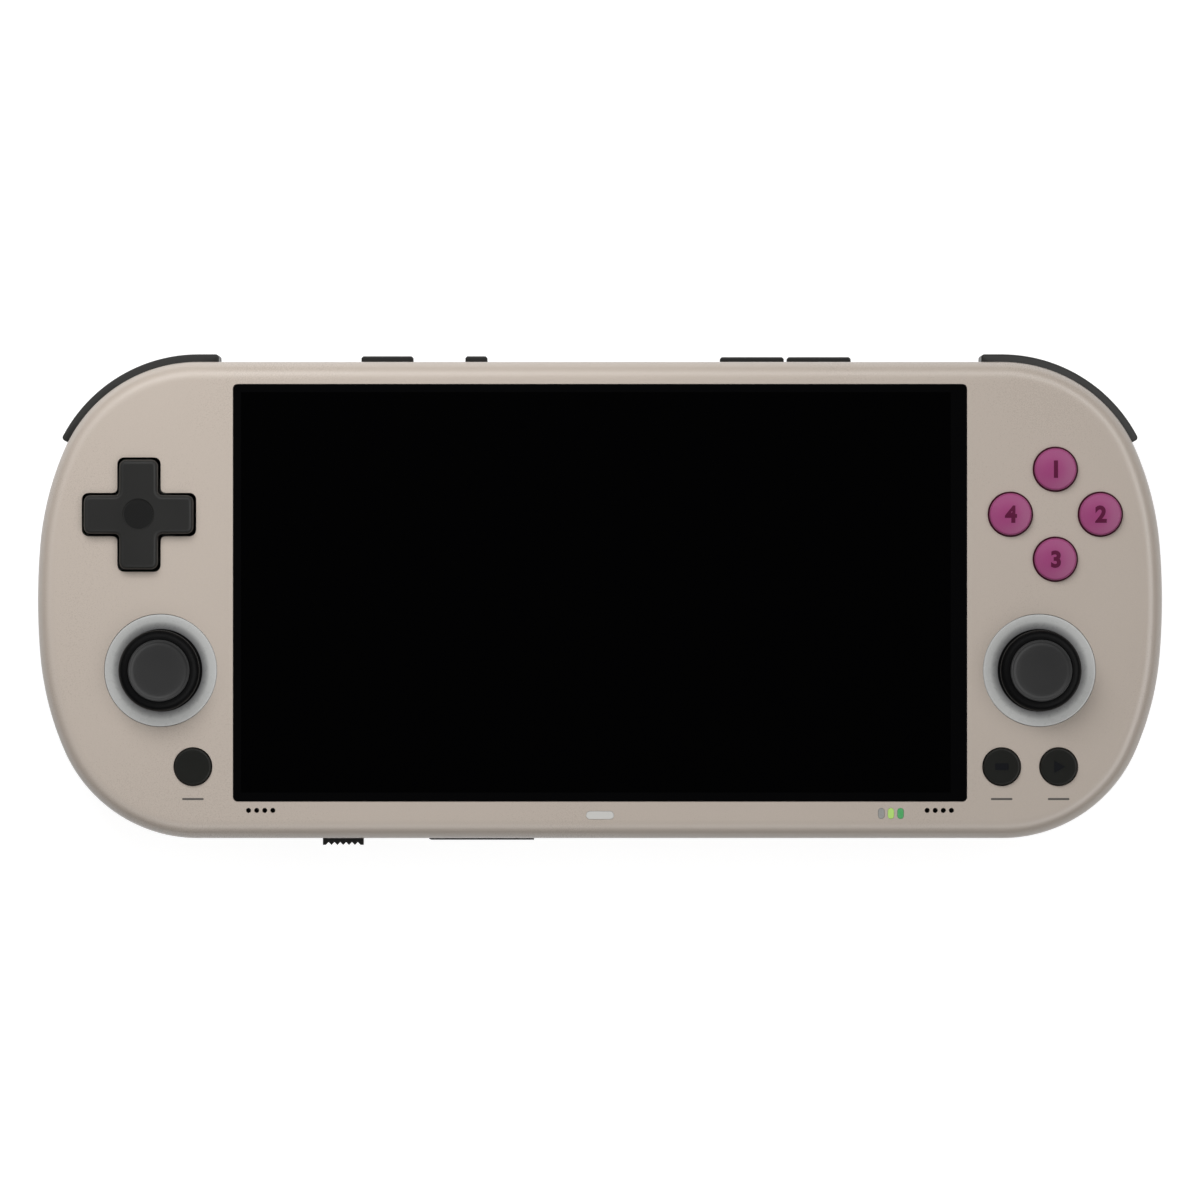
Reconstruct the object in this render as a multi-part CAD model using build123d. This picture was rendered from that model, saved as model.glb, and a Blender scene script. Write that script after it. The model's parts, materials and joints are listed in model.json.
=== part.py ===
"""A handheld game console lying on its back, screen up.

The model is drawn about the middle of the body: X to the right as the player
holds it, Y towards the top edge, Z out of the screen from the feet of the grips.
"""

from build123d import *
import math
import os

os.makedirs("parts", exist_ok=True)

# Overall body, in millimetres
body_length = 188.0
body_width = 79.66
body_height = 17.0
half_length = body_length / 2
half_width = body_width / 2

# Outline seen from the front: each quarter is a side arc, a haunch arc and a corner arc
side_radius = 109.94
haunch_radius = 50.52
side_angle = 4.80
haunch_angle = 23.69
right_angle = 90.0

# Shells
front_deep = 8.4
back_rise = 2.6
roof = 1.6
floor = 1.6
side_wall = 1.8
front_round = 3.0
back_round = 5.0
grip_round = 6.5
back_bevel = 1.6
grip_bevel = 3.4
grip_reach = 36.0
grip_corner = 9.0
lip_width = 0.8
lip_height = 1.2
lip_reach = 58.0
fit_gap = 0.1
rest_gap = 0.05
overrun = 1.0
same_level = 0.01
parting_z = body_height - front_deep
roof_z = body_height - roof
floor_z = back_rise + floor
inner_wall = half_width - side_wall

# Screen
glass_length = 122.3
glass_width = 69.5
glass_y = 1.2
glass_corner = 0.8
glass_thick = 1.0
adhesive = 0.15
ledge_end = 3.0
ledge_side = 2.0
display_gap = 0.4
display_thick = 1.6
display_rib = 0.8
display_rib_depth = 1.2
ledge_z = body_height - glass_thick - adhesive
window_length = glass_length - 2 * ledge_end
window_width = glass_width - 2 * ledge_side

# Screws and bosses
screw_radius = 0.9
screw_head_radius = 1.8
screw_head = 1.2
screw_length = 8.4
pilot_gap = 0.04
boss_size = 5.2
recess_radius = 2.1
recess_depth = 1.9
head_boss_in = 28.0
head_boss_down = 11.83
side_boss_in = 6.0
side_boss_y = 1.3
heel_boss_angle = 22.5
heel_boss_inset = 4.9

# Inside
board_deep = 7.2
board_thick = 1.0
board_inset = 5.0
board_gap = 0.15
board_room = 0.3
board_mid_lead = 13.24694
board_z = body_height - board_deep
board_top = board_z + board_thick
standoff_in = 35.5
standoff_head_y = 22.0
standoff_foot_y = 19.0
standoff = 1.8
battery_length = 106.0
battery_width = 53.0
battery_y = 4.5
battery_gap = 0.5
battery_rib = 1.2
battery_rib_high = 2.0
can_size = 28.0
can_high = 1.8
spreader_length = 90.0
spreader_width = 48.0
spreader_thick = 0.5
vent_length = 14.0
vent_width = 1.4
vent_pitch = 3.6
vent_count = 9
vent_y = 33.3

# Direction pad
dpad_in = 17.1
dpad_y = 14.25
dpad_span = 18.25
dpad_arm = 6.4
dpad_slot_gap = 0.35
dpad_arm_corner = 1.1
dpad_inner_corner = 0.8
dpad_rise = 1.8
dpad_bevel = 0.6
dpad_dish_radius = 2.7
dpad_dish = 0.35
dpad_flange_size = 19.6
dpad_flange_corner = 5.0
dpad_flange = 1.0
dpad_flange_down = 2.8
pivot_foot = 2.6
pivot_tip = 0.6
pivot_gap = 0.6
pivot_foot_gap = 0.3
pivot_waist = 0.9

# Face buttons
cluster_in = 18.05
cluster_y = 14.3
cluster_reach = 7.5
face_radius = 3.5
face_gap = 0.3
face_rise = 1.6
face_crown = 0.45
face_lug = 0.9
face_flange = 1.0
face_travel = 1.0

# Small round buttons
menu_in = 26.1
select_in = 27.0
start_in = 17.5
start_margin = 8.9398
small_radius = 3.05
small_gap = 0.2
small_rise = 0.6
small_bevel = 0.35
small_lug = 0.85
lug_width = 2.2
small_flange = 0.9
small_travel = 0.5

# Silicone membranes
pad_thick = 0.7
pad_margin = 1.8
pad_corner = 2.5
dome_size = 3.0
dome_clear = 0.1
dpad_dome_reach = 7.4
dpad_dome_high = 1.3

# Thumb sticks
stick_in = 20.7
stick_y = -11.74
stick_deep = 8.0
stick_cap_radius = 6.75
stick_cap_up = 12.2
stick_cap_high = 0.9
stick_rim_radius = 5.5
stick_dish_radius = 4.8
stick_dish = 1.0
stick_under_up = 11.2
stick_neck_radius = 4.2
stick_dome_radius = 9.4
stick_dome_wall = 0.8
stick_dome_share = 0.35
stick_shaft_radius = 1.2
stick_shaft_tail = 2.0
stick_shaft_up = 9.0
stick_socket_radius = 2.2
stick_gap = 0.06
stick_click = 0.4
stick_socket_clear = 0.4
outer_dome_shares = (0, 0.5, 1)
inner_dome_shares = (1,)
rocker_size = 5.0
rocker_thick = 2.4
rocker_pin_radius = 0.6
yoke_size = 8.0
yoke_hole = 6.1
yoke_thick = 2.0
yoke_pin_radius = 0.8
arch_inner = 4.6
arch_outer = 5.4
arch_half = 2.2
arch_flats = 6
arch_slot_half = 1.45
arch_slot_reach = 3.2
module_size = 16.0
module_down = 4.4
module_base_down = 3.2
module_bore = 6.2
module_wall = 0.9
module_up = 1.0
module_corner = 3.8
module_rib = 1.4

# Light rings round the sticks
ring_radius = 9.4
ring_inner = 7.2
ring_deep = 1.5
ring_edge = 0.6
ring_lug = 1.2
ring_flange = 0.7
ring_gap = 0.05

# Shoulder buttons
shoulder_lead = 3.45
shoulder_angle = 26.5
shoulder_proud = 1.33
shoulder_deep = 3.0
shoulder_bevel = 0.5
shoulder_end_gap = 0.85
shoulder_near_gap = 0.25
shoulder_gap = 0.2
shoulder_front_high = 4.1
shoulder_rear_low = 4.3
shoulder_tab = 2.0
shoulder_tab_thick = 0.9
shoulder_pin_lead = 5.25
shoulder_pin_y_in = 3.83
shoulder_pin_radius = 0.8
shoulder_pin_gap = 0.05
shoulder_hub = 1.65
shoulder_arm = 2.6
shoulder_switch_angle = 36.0
shoulder_switch = 2.6
shoulder_switch_long = 4.0
shoulder_switch_thick = 1.0
shoulder_stroke = 1.15

# Buttons, slider and cover on the edges
edge_deep = 5.6
edge_high = 2.6
edge_gap = 0.15
edge_bevel = 0.3
edge_flange = 0.8
edge_flange_out = 0.4
edge_travel = 0.4
edge_switch_length = 3.0
edge_switch_deep = 1.5
edge_switch_high = 1.7
power_x = -35.6
power_width = 8.7
power_proud = 1.0
function_x = -20.7
function_width = 3.7
volume_width = 10.7
volume_gap = 0.5
volume_x = 31.03
volume_proud = 0.85
slider_x = -43.0
slider_width = 6.8
slider_proud = 1.17
slider_travel = 1.2
slider_seat = 0.75
slider_teeth = 6
slider_pitch = 0.98
slider_notch = 0.47
slider_neck = 2.2
slider_neck_high = 1.3
slider_base_length = 8.0
slider_base_deep = 2.2
cover_x = -19.9
cover_width = 17.7
cover_proud = 0.3
cover_seat = 0.9
cover_high = 3.0
cover_hole_width = 15.1
cover_hole_high = 1.8
cover_plug_gap = 0.3
cover_plug_deep = 0.7
card_length = 11.6
card_high = 1.0
card_deep = 13.0
card_wall = 0.4

# Ports and speakers
jack_x = 40.0
jack_bore_radius = 1.8
jack_bore_deep = 12.0
jack_barrel_radius = 2.4
jack_barrel_gap = 0.1
jack_body = 6.0
jack_body_high = 5.0
jack_end = 1.2
port_x = 10.0
port_width = 8.94
port_high = 3.26
port_wall = 0.3
port_deep = 7.3
port_tongue_width = 6.7
port_tongue = 0.7
port_tongue_short = 1.0
port_inset = 0.4
speaker_in = 37.4
speaker_up = 4.73
speaker_length = 10.4
speaker_width = 4.6
speaker_thick = 3.3
speaker_cone = 0.5
speaker_hole_radius = 0.425
speaker_hole_pitch = 1.35
speaker_holes = 4

# Light windows under the screen
pill_length = 4.6
pill_width = 1.3
pill_up = 3.93
status_x = 48.53
status_pitch = 1.6
status_width = 1.0
status_high = 1.75
status_up = 4.23
window_gap = 0.05
window_foot = 0.5
window_foot_out = 0.25

# Places that several pieces share
sides = {"left": -1, "right": 1}
edge_z = body_height - edge_deep
dpad_top = body_height + dpad_rise
dpad_flange_top = body_height - dpad_flange_down
face_top = body_height + face_rise
small_top = body_height + small_rise
stick_z = body_height - stick_deep
module_z = stick_z - module_down
ring_low = body_height - ring_deep
stick_x = half_length - stick_in
dpad_at = (dpad_in - half_length, dpad_y)
cluster_at = (half_length - cluster_in, cluster_y)
face_places = {
    "button_a": (cluster_at[0] + cluster_reach, cluster_at[1]),
    "button_b": (cluster_at[0], cluster_at[1] - cluster_reach),
    "button_x": (cluster_at[0], cluster_at[1] + cluster_reach),
    "button_y": (cluster_at[0] - cluster_reach, cluster_at[1]),
}
edge_buttons = {
    "power_button": (power_x, power_width, power_proud),
    "function_button": (function_x, function_width, power_proud),
    "volume_up_button": (volume_x - (volume_width + volume_gap) / 2, volume_width, volume_proud),
    "volume_down_button": (volume_x + (volume_width + volume_gap) / 2, volume_width, volume_proud),
}
shoulder_levels = {
    "front": (parting_z + shoulder_gap, parting_z + shoulder_gap + shoulder_front_high),
    "rear": (shoulder_rear_low, parting_z - shoulder_gap / 2),
}
standoffs = [
    (side * (half_length - standoff_in), y)
    for side in sides.values()
    for y in (standoff_head_y, -standoff_foot_y)
]
y_shift = (slider_proud - shoulder_proud) / 2


def arc_centres():
    """Centres of the three arcs of the upper right quarter, and the radius of the last."""
    side = math.radians(side_angle)
    haunch = math.radians(haunch_angle)
    rise = (side_radius - haunch_radius) * math.sin(side) + haunch_radius * math.sin(haunch)
    corner_radius = (half_width - rise) / (1 - math.sin(haunch))
    first = Vector(half_length - side_radius, 0)
    second = first + (side_radius - haunch_radius) * Vector(math.cos(side), math.sin(side))
    third = second + (haunch_radius - corner_radius) * Vector(math.cos(haunch), math.sin(haunch))
    return first, second, third, corner_radius


side_centre, haunch_centre, corner_centre, corner_radius = arc_centres()
start_x = half_length - start_in
start_turn = math.asin((start_x - corner_centre.X) / (corner_radius - start_margin))
small_y = -corner_centre.Y - (corner_radius - start_margin) * math.cos(start_turn)
small_places = {
    "menu_button": (menu_in - half_length, small_y),
    "select_button": (half_length - select_in, small_y),
    "start_button": (start_x, small_y),
}
board_mid_half = corner_centre.X - board_mid_lead
shoulder_x = corner_centre.X - shoulder_lead
pin_at = (corner_centre.X - shoulder_pin_lead, half_width - shoulder_pin_y_in)


def on_arc(centre, radius, degrees):
    angle = math.radians(degrees)
    return Vector(centre.X + radius * math.cos(angle), centre.Y + radius * math.sin(angle))


def arc(centre, radius, start, end):
    middle = on_arc(centre, radius, (start + end) / 2)
    return ThreePointArc(on_arc(centre, radius, start), middle, on_arc(centre, radius, end))


def outline(inset=0):
    """Face of the body seen from the front, drawn in by an inset."""
    quarter = [
        arc(side_centre, side_radius - inset, 0, side_angle),
        arc(haunch_centre, haunch_radius - inset, side_angle, haunch_angle),
        arc(corner_centre, corner_radius - inset, haunch_angle, right_angle),
        Line((corner_centre.X, half_width - inset), (0, half_width - inset)),
    ]
    upper = quarter + [mirror(edge, about=Plane.YZ) for edge in quarter]
    return make_face(upper + [mirror(edge, about=Plane.XZ) for edge in upper])


def post(radius, low, high, x=0, y=0):
    return Pos(x, y, low) * extrude(Circle(radius), high - low)


def block(low, high):
    """Box between two corners."""
    size = [b - a for a, b in zip(low, high)]
    return Pos(*low) * Box(*size, align=(Align.MIN, Align.MIN, Align.MIN))


def plate(length, width, low, high, x=0, y=0, corner=0):
    shape = RectangleRounded(length, width, corner) if corner else Rectangle(length, width)
    return Pos(x, y, low) * extrude(shape, high - low)


def edge_block(x, width, high, near, far):
    """Box on an edge of the body, centred at a place along it and at the edge height."""
    low, top = sorted((near, far))
    return block((x - width / 2, low, edge_z - high / 2), (x + width / 2, top, edge_z + high / 2))


def soften(solid, edges, radius):
    """Rounds edges with three flats that touch the true round, which keeps the facets few."""
    middle = radius * (2 - math.sqrt(2))
    side = radius * (math.tan(math.pi / 8) - math.tan(math.pi / 16))
    before = {round(edge.center().Z, 3) for edge in solid.edges()}
    cut = chamfer(edges, middle)
    fresh = [
        edge for edge in cut.edges()
        if round(edge.center().Z, 3) not in before
        and abs(edge.bounding_box().size.Z) < same_level
    ]
    edge_level = edges[0].center().Z
    rims = [edge for edge in cut.edges() if abs(edge.center().Z - edge_level) < same_level]
    return chamfer(fresh + rims, side)


def both(shape):
    return [shape, mirror(shape, about=Plane.YZ)]


def side_of(shape, side):
    return mirror(shape, about=Plane.YZ) if side < 0 else shape


def turned(points):
    """Solid of revolution about Z from a closed profile of (radius, height) points."""
    profile = make_face(Polyline(*[(r, 0, z) for r, z in points], close=True))
    return revolve(profile, Axis.Z)


def save(name, *shapes):
    solids = [solid for shape in shapes for solid in shape.solids()]
    moved = [solid.moved(Pos(0, y_shift, 0)) for solid in solids]
    export_step(moved[0] if len(moved) == 1 else Compound(moved), f"parts/{name}.step")
    print(name, len(moved))


# Screw places


def heel_boss():
    return on_arc(haunch_centre, haunch_radius - heel_boss_inset, heel_boss_angle)


def column(size, low, high, place):
    return plate(size, size, low, high, *place)


def pin_places():
    return [(side * pin_at[0], pin_at[1]) for side in sides.values()]


def boss_places():
    heel = heel_boss()
    right = [
        (half_length - head_boss_in, half_width - head_boss_down),
        (half_length - side_boss_in, side_boss_y),
        (heel.X, -heel.Y),
    ]
    return [(side * x, y) for side in sides.values() for x, y in right]


# Shoulder buttons, drawn on the right and mirrored


def shoulder_band(outer, inner, start_x, end_angle):
    """Plan of a strip that follows the upper right corner between two offsets of the outline."""
    top = half_width + outer
    low = half_width - inner
    return make_face([
        Line((start_x, top), (corner_centre.X, top)),
        arc(corner_centre, corner_radius + outer, right_angle, end_angle),
        Line(
            on_arc(corner_centre, corner_radius + outer, end_angle),
            on_arc(corner_centre, corner_radius - inner, end_angle),
        ),
        arc(corner_centre, corner_radius - inner, end_angle, right_angle),
        Line((corner_centre.X, low), (start_x, low)),
        Line((start_x, low), (start_x, top)),
    ])


def corner_turn(length):
    """Degrees of the corner arc that a length takes up."""
    return math.degrees(length / corner_radius)


def tab_angle():
    """Where the stop tab of a lever ends, behind the wall past its opening."""
    return shoulder_angle - corner_turn(shoulder_end_gap + shoulder_tab)


def shoulder_lever(level):
    low, high = shoulder_levels[level]
    lever = Pos(0, 0, low) * extrude(
        shoulder_band(shoulder_proud, shoulder_deep, shoulder_x, shoulder_angle), high - low
    )
    outer = [
        edge for edge in lever.edges()
        if edge.center().Y > corner_centre.Y
        and edge.geom_type == GeomType.CIRCLE
        and edge.radius > corner_radius
    ]
    outer += [
        edge for edge in lever.edges().filter_by(Axis.X)
        if edge.center().Y > half_width
    ]
    lever = chamfer(outer, shoulder_bevel)
    tab_inner = side_wall + shoulder_gap
    tab = Pos(0, 0, low) * extrude(
        shoulder_band(-tab_inner, tab_inner + shoulder_tab_thick, shoulder_x, tab_angle()),
        high - low,
    )
    arm_top = inner_wall - shoulder_gap
    arm = block((pin_at[0], arm_top - shoulder_arm, low), (corner_centre.X, arm_top, high))
    hub = column(2 * shoulder_hub, low, high, pin_at)
    bore = post(shoulder_pin_radius + shoulder_pin_gap, low - overrun, high + overrun, *pin_at)
    return lever + tab + arm + hub - bore


def shoulder_opening(low, high):
    """Cut through the side wall for the levers of the right corner."""
    band = shoulder_band(
        shoulder_proud + overrun, shoulder_deep, shoulder_x - shoulder_near_gap,
        shoulder_angle - corner_turn(shoulder_end_gap),
    )
    return Pos(0, 0, low) * extrude(band, high - low)


def shoulder_pin():
    return post(shoulder_pin_radius, floor_z, roof_z, *pin_at)


def shoulder_switches():
    """Two tact switches a side, above and below the board edge behind the levers."""
    reach = corner_radius - shoulder_deep - shoulder_stroke
    upper = Pos(0, -shoulder_switch_long / 2, board_top) * Box(
        shoulder_switch, shoulder_switch_long, shoulder_switch_thick,
        align=(Align.MAX, Align.MIN, Align.MIN),
    )
    lower = Pos(0, -shoulder_switch_long / 2, board_z) * Box(
        shoulder_switch, shoulder_switch_long, shoulder_switch_thick + lip_height,
        align=(Align.MAX, Align.MIN, Align.MAX),
    )
    place = Pos(corner_centre.X, corner_centre.Y, 0) * Rot(0, 0, shoulder_switch_angle)
    return [place * Pos(reach, 0, 0) * switch for switch in (upper, lower)]


# Shells


def grip_plan(inset):
    """The right-hand end of the outline, with its inner corners rounded."""
    edge = half_length - grip_reach + inset
    end = outline(inset) & Pos(edge, 0) * Rectangle(
        body_length, body_length, align=(Align.MIN, Align.CENTER)
    )
    corners = [v for v in end.vertices() if abs(v.X - edge) < fit_gap]
    return fillet(corners, grip_corner - inset)


def rear_form(inset, skin):
    """Back half of the body: a flat back between two fuller grips."""
    back_high = parting_z - back_rise - skin
    grip_high = parting_z - skin
    back = Pos(0, 0, back_rise + skin) * extrude(outline(inset), back_high)
    grip = Pos(0, 0, skin) * extrude(grip_plan(inset), grip_high)
    back_edges = back.edges().group_by(Axis.Z)[0]
    grip_edges = grip.edges().group_by(Axis.Z)[0]
    if skin:
        back = chamfer(back_edges, min(back_bevel, back_high / 2))
        grip = chamfer(grip_edges, min(grip_bevel, grip_high / 2))
    else:
        back = soften(back, back_edges, min(back_round, back_high - overrun))
        grip = soften(grip, grip_edges, min(grip_round, grip_high - overrun))
    return back + both(grip)


def lips(gap):
    """Tongues of the rear shell, or with a gap the grooves of the front shell for them."""
    middle = half_width - side_wall + (lip_width + gap) / 2
    return [
        plate(
            2 * (lip_reach + gap), lip_width + gap, parting_z, parting_z + lip_height + gap, 0, y
        )
        for y in (middle, -middle)
    ]


def jack_clearance():
    return Rot(right_angle, 0, 0) * Pos(jack_x, edge_z, 0) * extrude(
        Circle(jack_barrel_radius + jack_barrel_gap), half_width + overrun
    )


def wall_openings():
    """Cuts through the front shell's side wall."""
    outside = half_width + overrun
    inside = inner_wall - overrun
    cuts = [
        edge_block(x, width + 2 * edge_gap, edge_high + 2 * edge_gap, inside, outside)
        for x, width, proud in edge_buttons.values()
    ]
    cuts.append(edge_block(
        volume_x, volume_width, edge_high + 2 * edge_gap, inside, outside
    ))
    track = slider_width + 2 * (slider_travel + edge_gap)
    cuts.append(edge_block(
        slider_x, track, edge_high + 2 * edge_gap, -outside, slider_seat - half_width
    ))
    slot = slider_neck + 2 * (slider_travel + edge_gap)
    cuts.append(edge_block(
        slider_x, slot, slider_neck_high + 2 * edge_gap, -outside, -inside
    ))
    cuts.append(edge_block(
        cover_x, cover_width + 2 * edge_gap, cover_high + 2 * edge_gap, -outside,
        cover_seat + edge_gap - half_width,
    ))
    cuts.append(edge_block(
        cover_x, cover_hole_width, cover_hole_high, -outside, -inside
    ))
    port = SlotOverall(port_width + 2 * edge_gap, port_high + 2 * edge_gap)
    cuts.append(
        Pos(port_x, -inside, edge_z) * Rot(right_angle, 0, 0) * extrude(port, outside - inside)
    )
    cuts.append(jack_clearance() & edge_block(
        jack_x, body_height, body_height, -outside, -inside
    ))
    cuts += both(shoulder_opening(parting_z - overrun, shoulder_levels["front"][1] + shoulder_gap))
    return cuts


def cross(span, arm, corner, inner):
    shape = Rectangle(span, arm) + Rectangle(arm, span)
    outside = [v for v in shape.vertices() if abs(abs(v.X) - abs(v.Y)) >= fit_gap]
    shape = fillet(outside, corner)
    inside = [
        v for v in shape.vertices()
        if abs(abs(v.X) - arm / 2) < fit_gap and abs(abs(v.Y) - arm / 2) < fit_gap
    ]
    return fillet(inside, inner)


def roof_openings():
    """Cuts through the front face."""
    low = roof_z - overrun
    high = body_height + overrun
    ring_hole = ring_radius + ring_gap
    cuts = [post(ring_hole, low, high, side * stick_x, stick_y) for side in sides.values()]
    cuts += [post(face_radius + face_gap, low, high, *place) for place in face_places.values()]
    cuts += [post(small_radius + small_gap, low, high, *place) for place in small_places.values()]
    slot = cross(
        dpad_span + 2 * dpad_slot_gap, dpad_arm + 2 * dpad_slot_gap, dpad_arm_corner,
        dpad_inner_corner,
    )
    cuts.append(Pos(*dpad_at, low) * extrude(slot, high - low))
    for side in sides.values():
        for step in range(speaker_holes):
            x = side * (half_length - speaker_in)
            x += (step - (speaker_holes - 1) / 2) * speaker_hole_pitch
            cuts.append(post(speaker_hole_radius, low, high, x, speaker_up - half_width))
    pill = SlotOverall(pill_length + 2 * window_gap, pill_width + 2 * window_gap)
    cuts.append(Pos(0, pill_up - half_width, low) * extrude(pill, high - low))
    for x in status_places():
        light = SlotOverall(status_high + 2 * window_gap, status_width + 2 * window_gap)
        cuts.append(
            Pos(x, status_up - half_width, low) * Rot(0, 0, right_angle) * extrude(light, high - low)
        )
    return cuts


def status_places():
    return [status_x + step * status_pitch for step in (-1, 0, 1)]


def screen_cuts():
    glass = plate(
        glass_length + 2 * fit_gap, glass_width + 2 * fit_gap, ledge_z, body_height + overrun,
        0, glass_y, glass_corner,
    )
    window = plate(
        window_length, window_width, roof_z - display_rib_depth, body_height, 0, glass_y
    )
    return [glass, window]


def front_shell():
    body = Pos(0, 0, parting_z) * extrude(outline(), body_height - parting_z)
    body = soften(body, body.edges().group_by(Axis.Z)[-1], front_round)
    shell = body - Pos(0, 0, parting_z) * extrude(outline(side_wall), roof_z - parting_z)
    rib = plate(
        window_length + 2 * display_rib, window_width + 2 * display_rib,
        roof_z - display_rib_depth, roof_z, 0, glass_y,
    )
    bosses = [column(boss_size, parting_z, roof_z, place) for place in boss_places()]
    sockets = [
        column(2 * shoulder_hub, shoulder_levels["front"][1] + shoulder_gap, roof_z, place)
        for place in pin_places()
    ]
    shell += [rib] + bosses + sockets
    pilot_top = recess_depth + screw_length + fit_gap
    pilots = [
        post(screw_radius + pilot_gap, parting_z - overrun, pilot_top, *place)
        for place in boss_places()
    ]
    bores = [post(shoulder_pin_radius, parting_z, roof_z, *place) for place in pin_places()]
    shell -= lips(fit_gap) + screen_cuts() + pilots + bores
    return shell - roof_openings() - wall_openings()


def rear_shell():
    outer = rear_form(0, 0)
    shell = outer - rear_form(side_wall, floor)
    columns = [column(boss_size, 0, parting_z, place) for place in boss_places()]
    columns += [column(2 * standoff, 0, parting_z, place) for place in standoffs]
    hub_top = shoulder_levels["rear"][0] - shoulder_gap
    columns += [column(2 * shoulder_hub, 0, hub_top, place) for place in pin_places()]
    for side in sides.values():
        x = side * stick_x
        half = module_size / 2 - module_rib
        columns.append(block(
            (x - half, stick_y - module_rib / 2, 0), (x + half, stick_y + module_rib / 2, module_z)
        ))
        columns.append(block(
            (x - module_rib / 2, stick_y - half, 0), (x + module_rib / 2, stick_y + half, module_z)
        ))
    high = floor_z + battery_rib_high
    battery_half = battery_length / 2 + fit_gap
    for side in sides.values():
        columns.append(plate(
            battery_rib, battery_width, 0, high, side * (battery_half + battery_rib / 2), battery_y
        ))
    shell += [one & outer for one in columns]
    shell += [column(2 * standoff, floor_z, board_z, place) for place in standoffs]
    shell += lips(0)
    return shell - rear_cuts()


def rear_cuts():
    cuts = []
    for place in boss_places():
        cuts.append(post(recess_radius, -overrun, recess_depth, *place))
        cuts.append(post(screw_radius + fit_gap, 0, parting_z + overrun, *place))
    pocket_low = shoulder_levels["rear"][0] - shoulder_gap
    reach = shoulder_hub + shoulder_near_gap
    pocket = block(
        (pin_at[0] - reach, pin_at[1] - reach, pocket_low),
        (corner_centre.X, inner_wall, parting_z + lip_height),
    )
    cuts += both(pocket)
    relief = shoulder_band(
        -side_wall, shoulder_deep + shoulder_gap, shoulder_x, tab_angle() - corner_turn(shoulder_gap)
    )
    cuts += both(Pos(0, 0, pocket_low) * extrude(relief, parting_z + lip_height - pocket_low))
    for place in pin_places():
        cuts.append(post(shoulder_pin_radius, floor_z, parting_z, *place))
    port_half = port_width / 2 + edge_gap
    cuts.append(block(
        (port_x - port_half, -half_width, edge_z - port_high / 2 - edge_gap),
        (port_x + port_half, port_deep - half_width, edge_z),
    ))
    first = -(vent_count - 1) / 2
    for step in range(vent_count):
        cuts.append(plate(
            vent_width, vent_length, back_rise - overrun, floor_z + overrun,
            (first + step) * vent_pitch, vent_y - vent_length / 2,
        ))
    cuts += both(shoulder_opening(
        shoulder_levels["rear"][0] - shoulder_gap, parting_z + lip_height + overrun
    ))
    cuts.append(jack_clearance())
    return cuts


# Screen pieces


def front_glass():
    return plate(
        glass_length, glass_width, ledge_z + adhesive, body_height, 0, glass_y, glass_corner
    )


def glass_adhesive():
    outer = plate(
        glass_length - 2 * fit_gap, glass_width - 2 * fit_gap, ledge_z, ledge_z + adhesive, 0, glass_y
    )
    inner = plate(
        window_length + 2 * fit_gap, window_width + 2 * fit_gap, ledge_z, ledge_z + adhesive, 0, glass_y
    )
    return outer - inner


def display_panel():
    return plate(
        window_length - 2 * display_gap, window_width - 2 * display_gap,
        ledge_z - display_thick, ledge_z, 0, glass_y,
    )


# Direction pad


def dpad():
    arms = Pos(0, 0, dpad_flange_top) * extrude(
        cross(dpad_span, dpad_arm, dpad_arm_corner, dpad_inner_corner), dpad_top - dpad_flange_top
    )
    arms = chamfer(arms.edges().group_by(Axis.Z)[-1], dpad_bevel)
    flange = plate(
        dpad_flange_size, dpad_flange_size, dpad_flange_top - dpad_flange, dpad_flange_top
    )
    flange = chamfer(flange.edges().filter_by(Axis.Z), dpad_flange_corner)
    dish = post(dpad_dish_radius, dpad_top - dpad_dish, dpad_top + overrun)
    return Pos(*dpad_at, 0) * (arms + flange - dish)


def dpad_pivot():
    tip = dpad_flange_top - dpad_flange - fit_gap
    low = board_top + pivot_foot_gap
    foot = column(2 * pivot_foot, low, low + pivot_waist, (0, 0))
    return Pos(*dpad_at, 0) * (foot + column(2 * pivot_tip, low, tip, (0, 0)))


def membrane(size, places, top):
    """Square silicone pad with a raised key under each place, drawn at its pressed height."""
    pad = plate(size, size, board_top, board_top + pad_thick)
    pad = chamfer(pad.edges().filter_by(Axis.Z), pad_corner)
    return pad + [column(dome_size, board_top, top, place) for place in places]


def around(reach):
    return [(reach, 0), (-reach, 0), (0, reach), (0, -reach)]


def dpad_membrane():
    size = 2 * (dpad_dome_reach + pad_margin)
    pad = membrane(size, around(dpad_dome_reach), board_top + dpad_dome_high)
    hole = 2 * (pivot_foot + pivot_gap)
    return Pos(*dpad_at, 0) * (pad - column(hole, board_top, roof_z, (0, 0)))


# Round buttons


def round_button(radius, top, bevel, lug, thick):
    """Bevelled cap held under the front face by two lugs."""
    low = roof_z - fit_gap - thick
    cap = post(radius, low, top)
    cap = chamfer(cap.edges().group_by(Axis.Z)[-1], bevel)
    return cap + plate(2 * (radius + lug), lug_width, low, low + thick)


def face_button(place):
    return Pos(*place, 0) * round_button(
        face_radius, face_top, face_crown, face_lug, face_flange
    )


def small_button(place):
    return Pos(*place, 0) * round_button(
        small_radius, small_top, small_bevel, small_lug, small_flange
    )


def face_button_membrane():
    top = roof_z - fit_gap - face_flange - face_travel - dome_clear
    pad = membrane(2 * (cluster_reach + pad_margin), around(cluster_reach), top)
    return Pos(*cluster_at, 0) * pad


def small_button_membranes():
    top = roof_z - fit_gap - small_flange - small_travel - dome_clear
    pad = membrane(2 * (small_radius + small_lug), [(0, 0)], top)
    return [Pos(*place, 0) * pad for place in small_places.values()]


# Thumb sticks, drawn about the pivot


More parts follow.
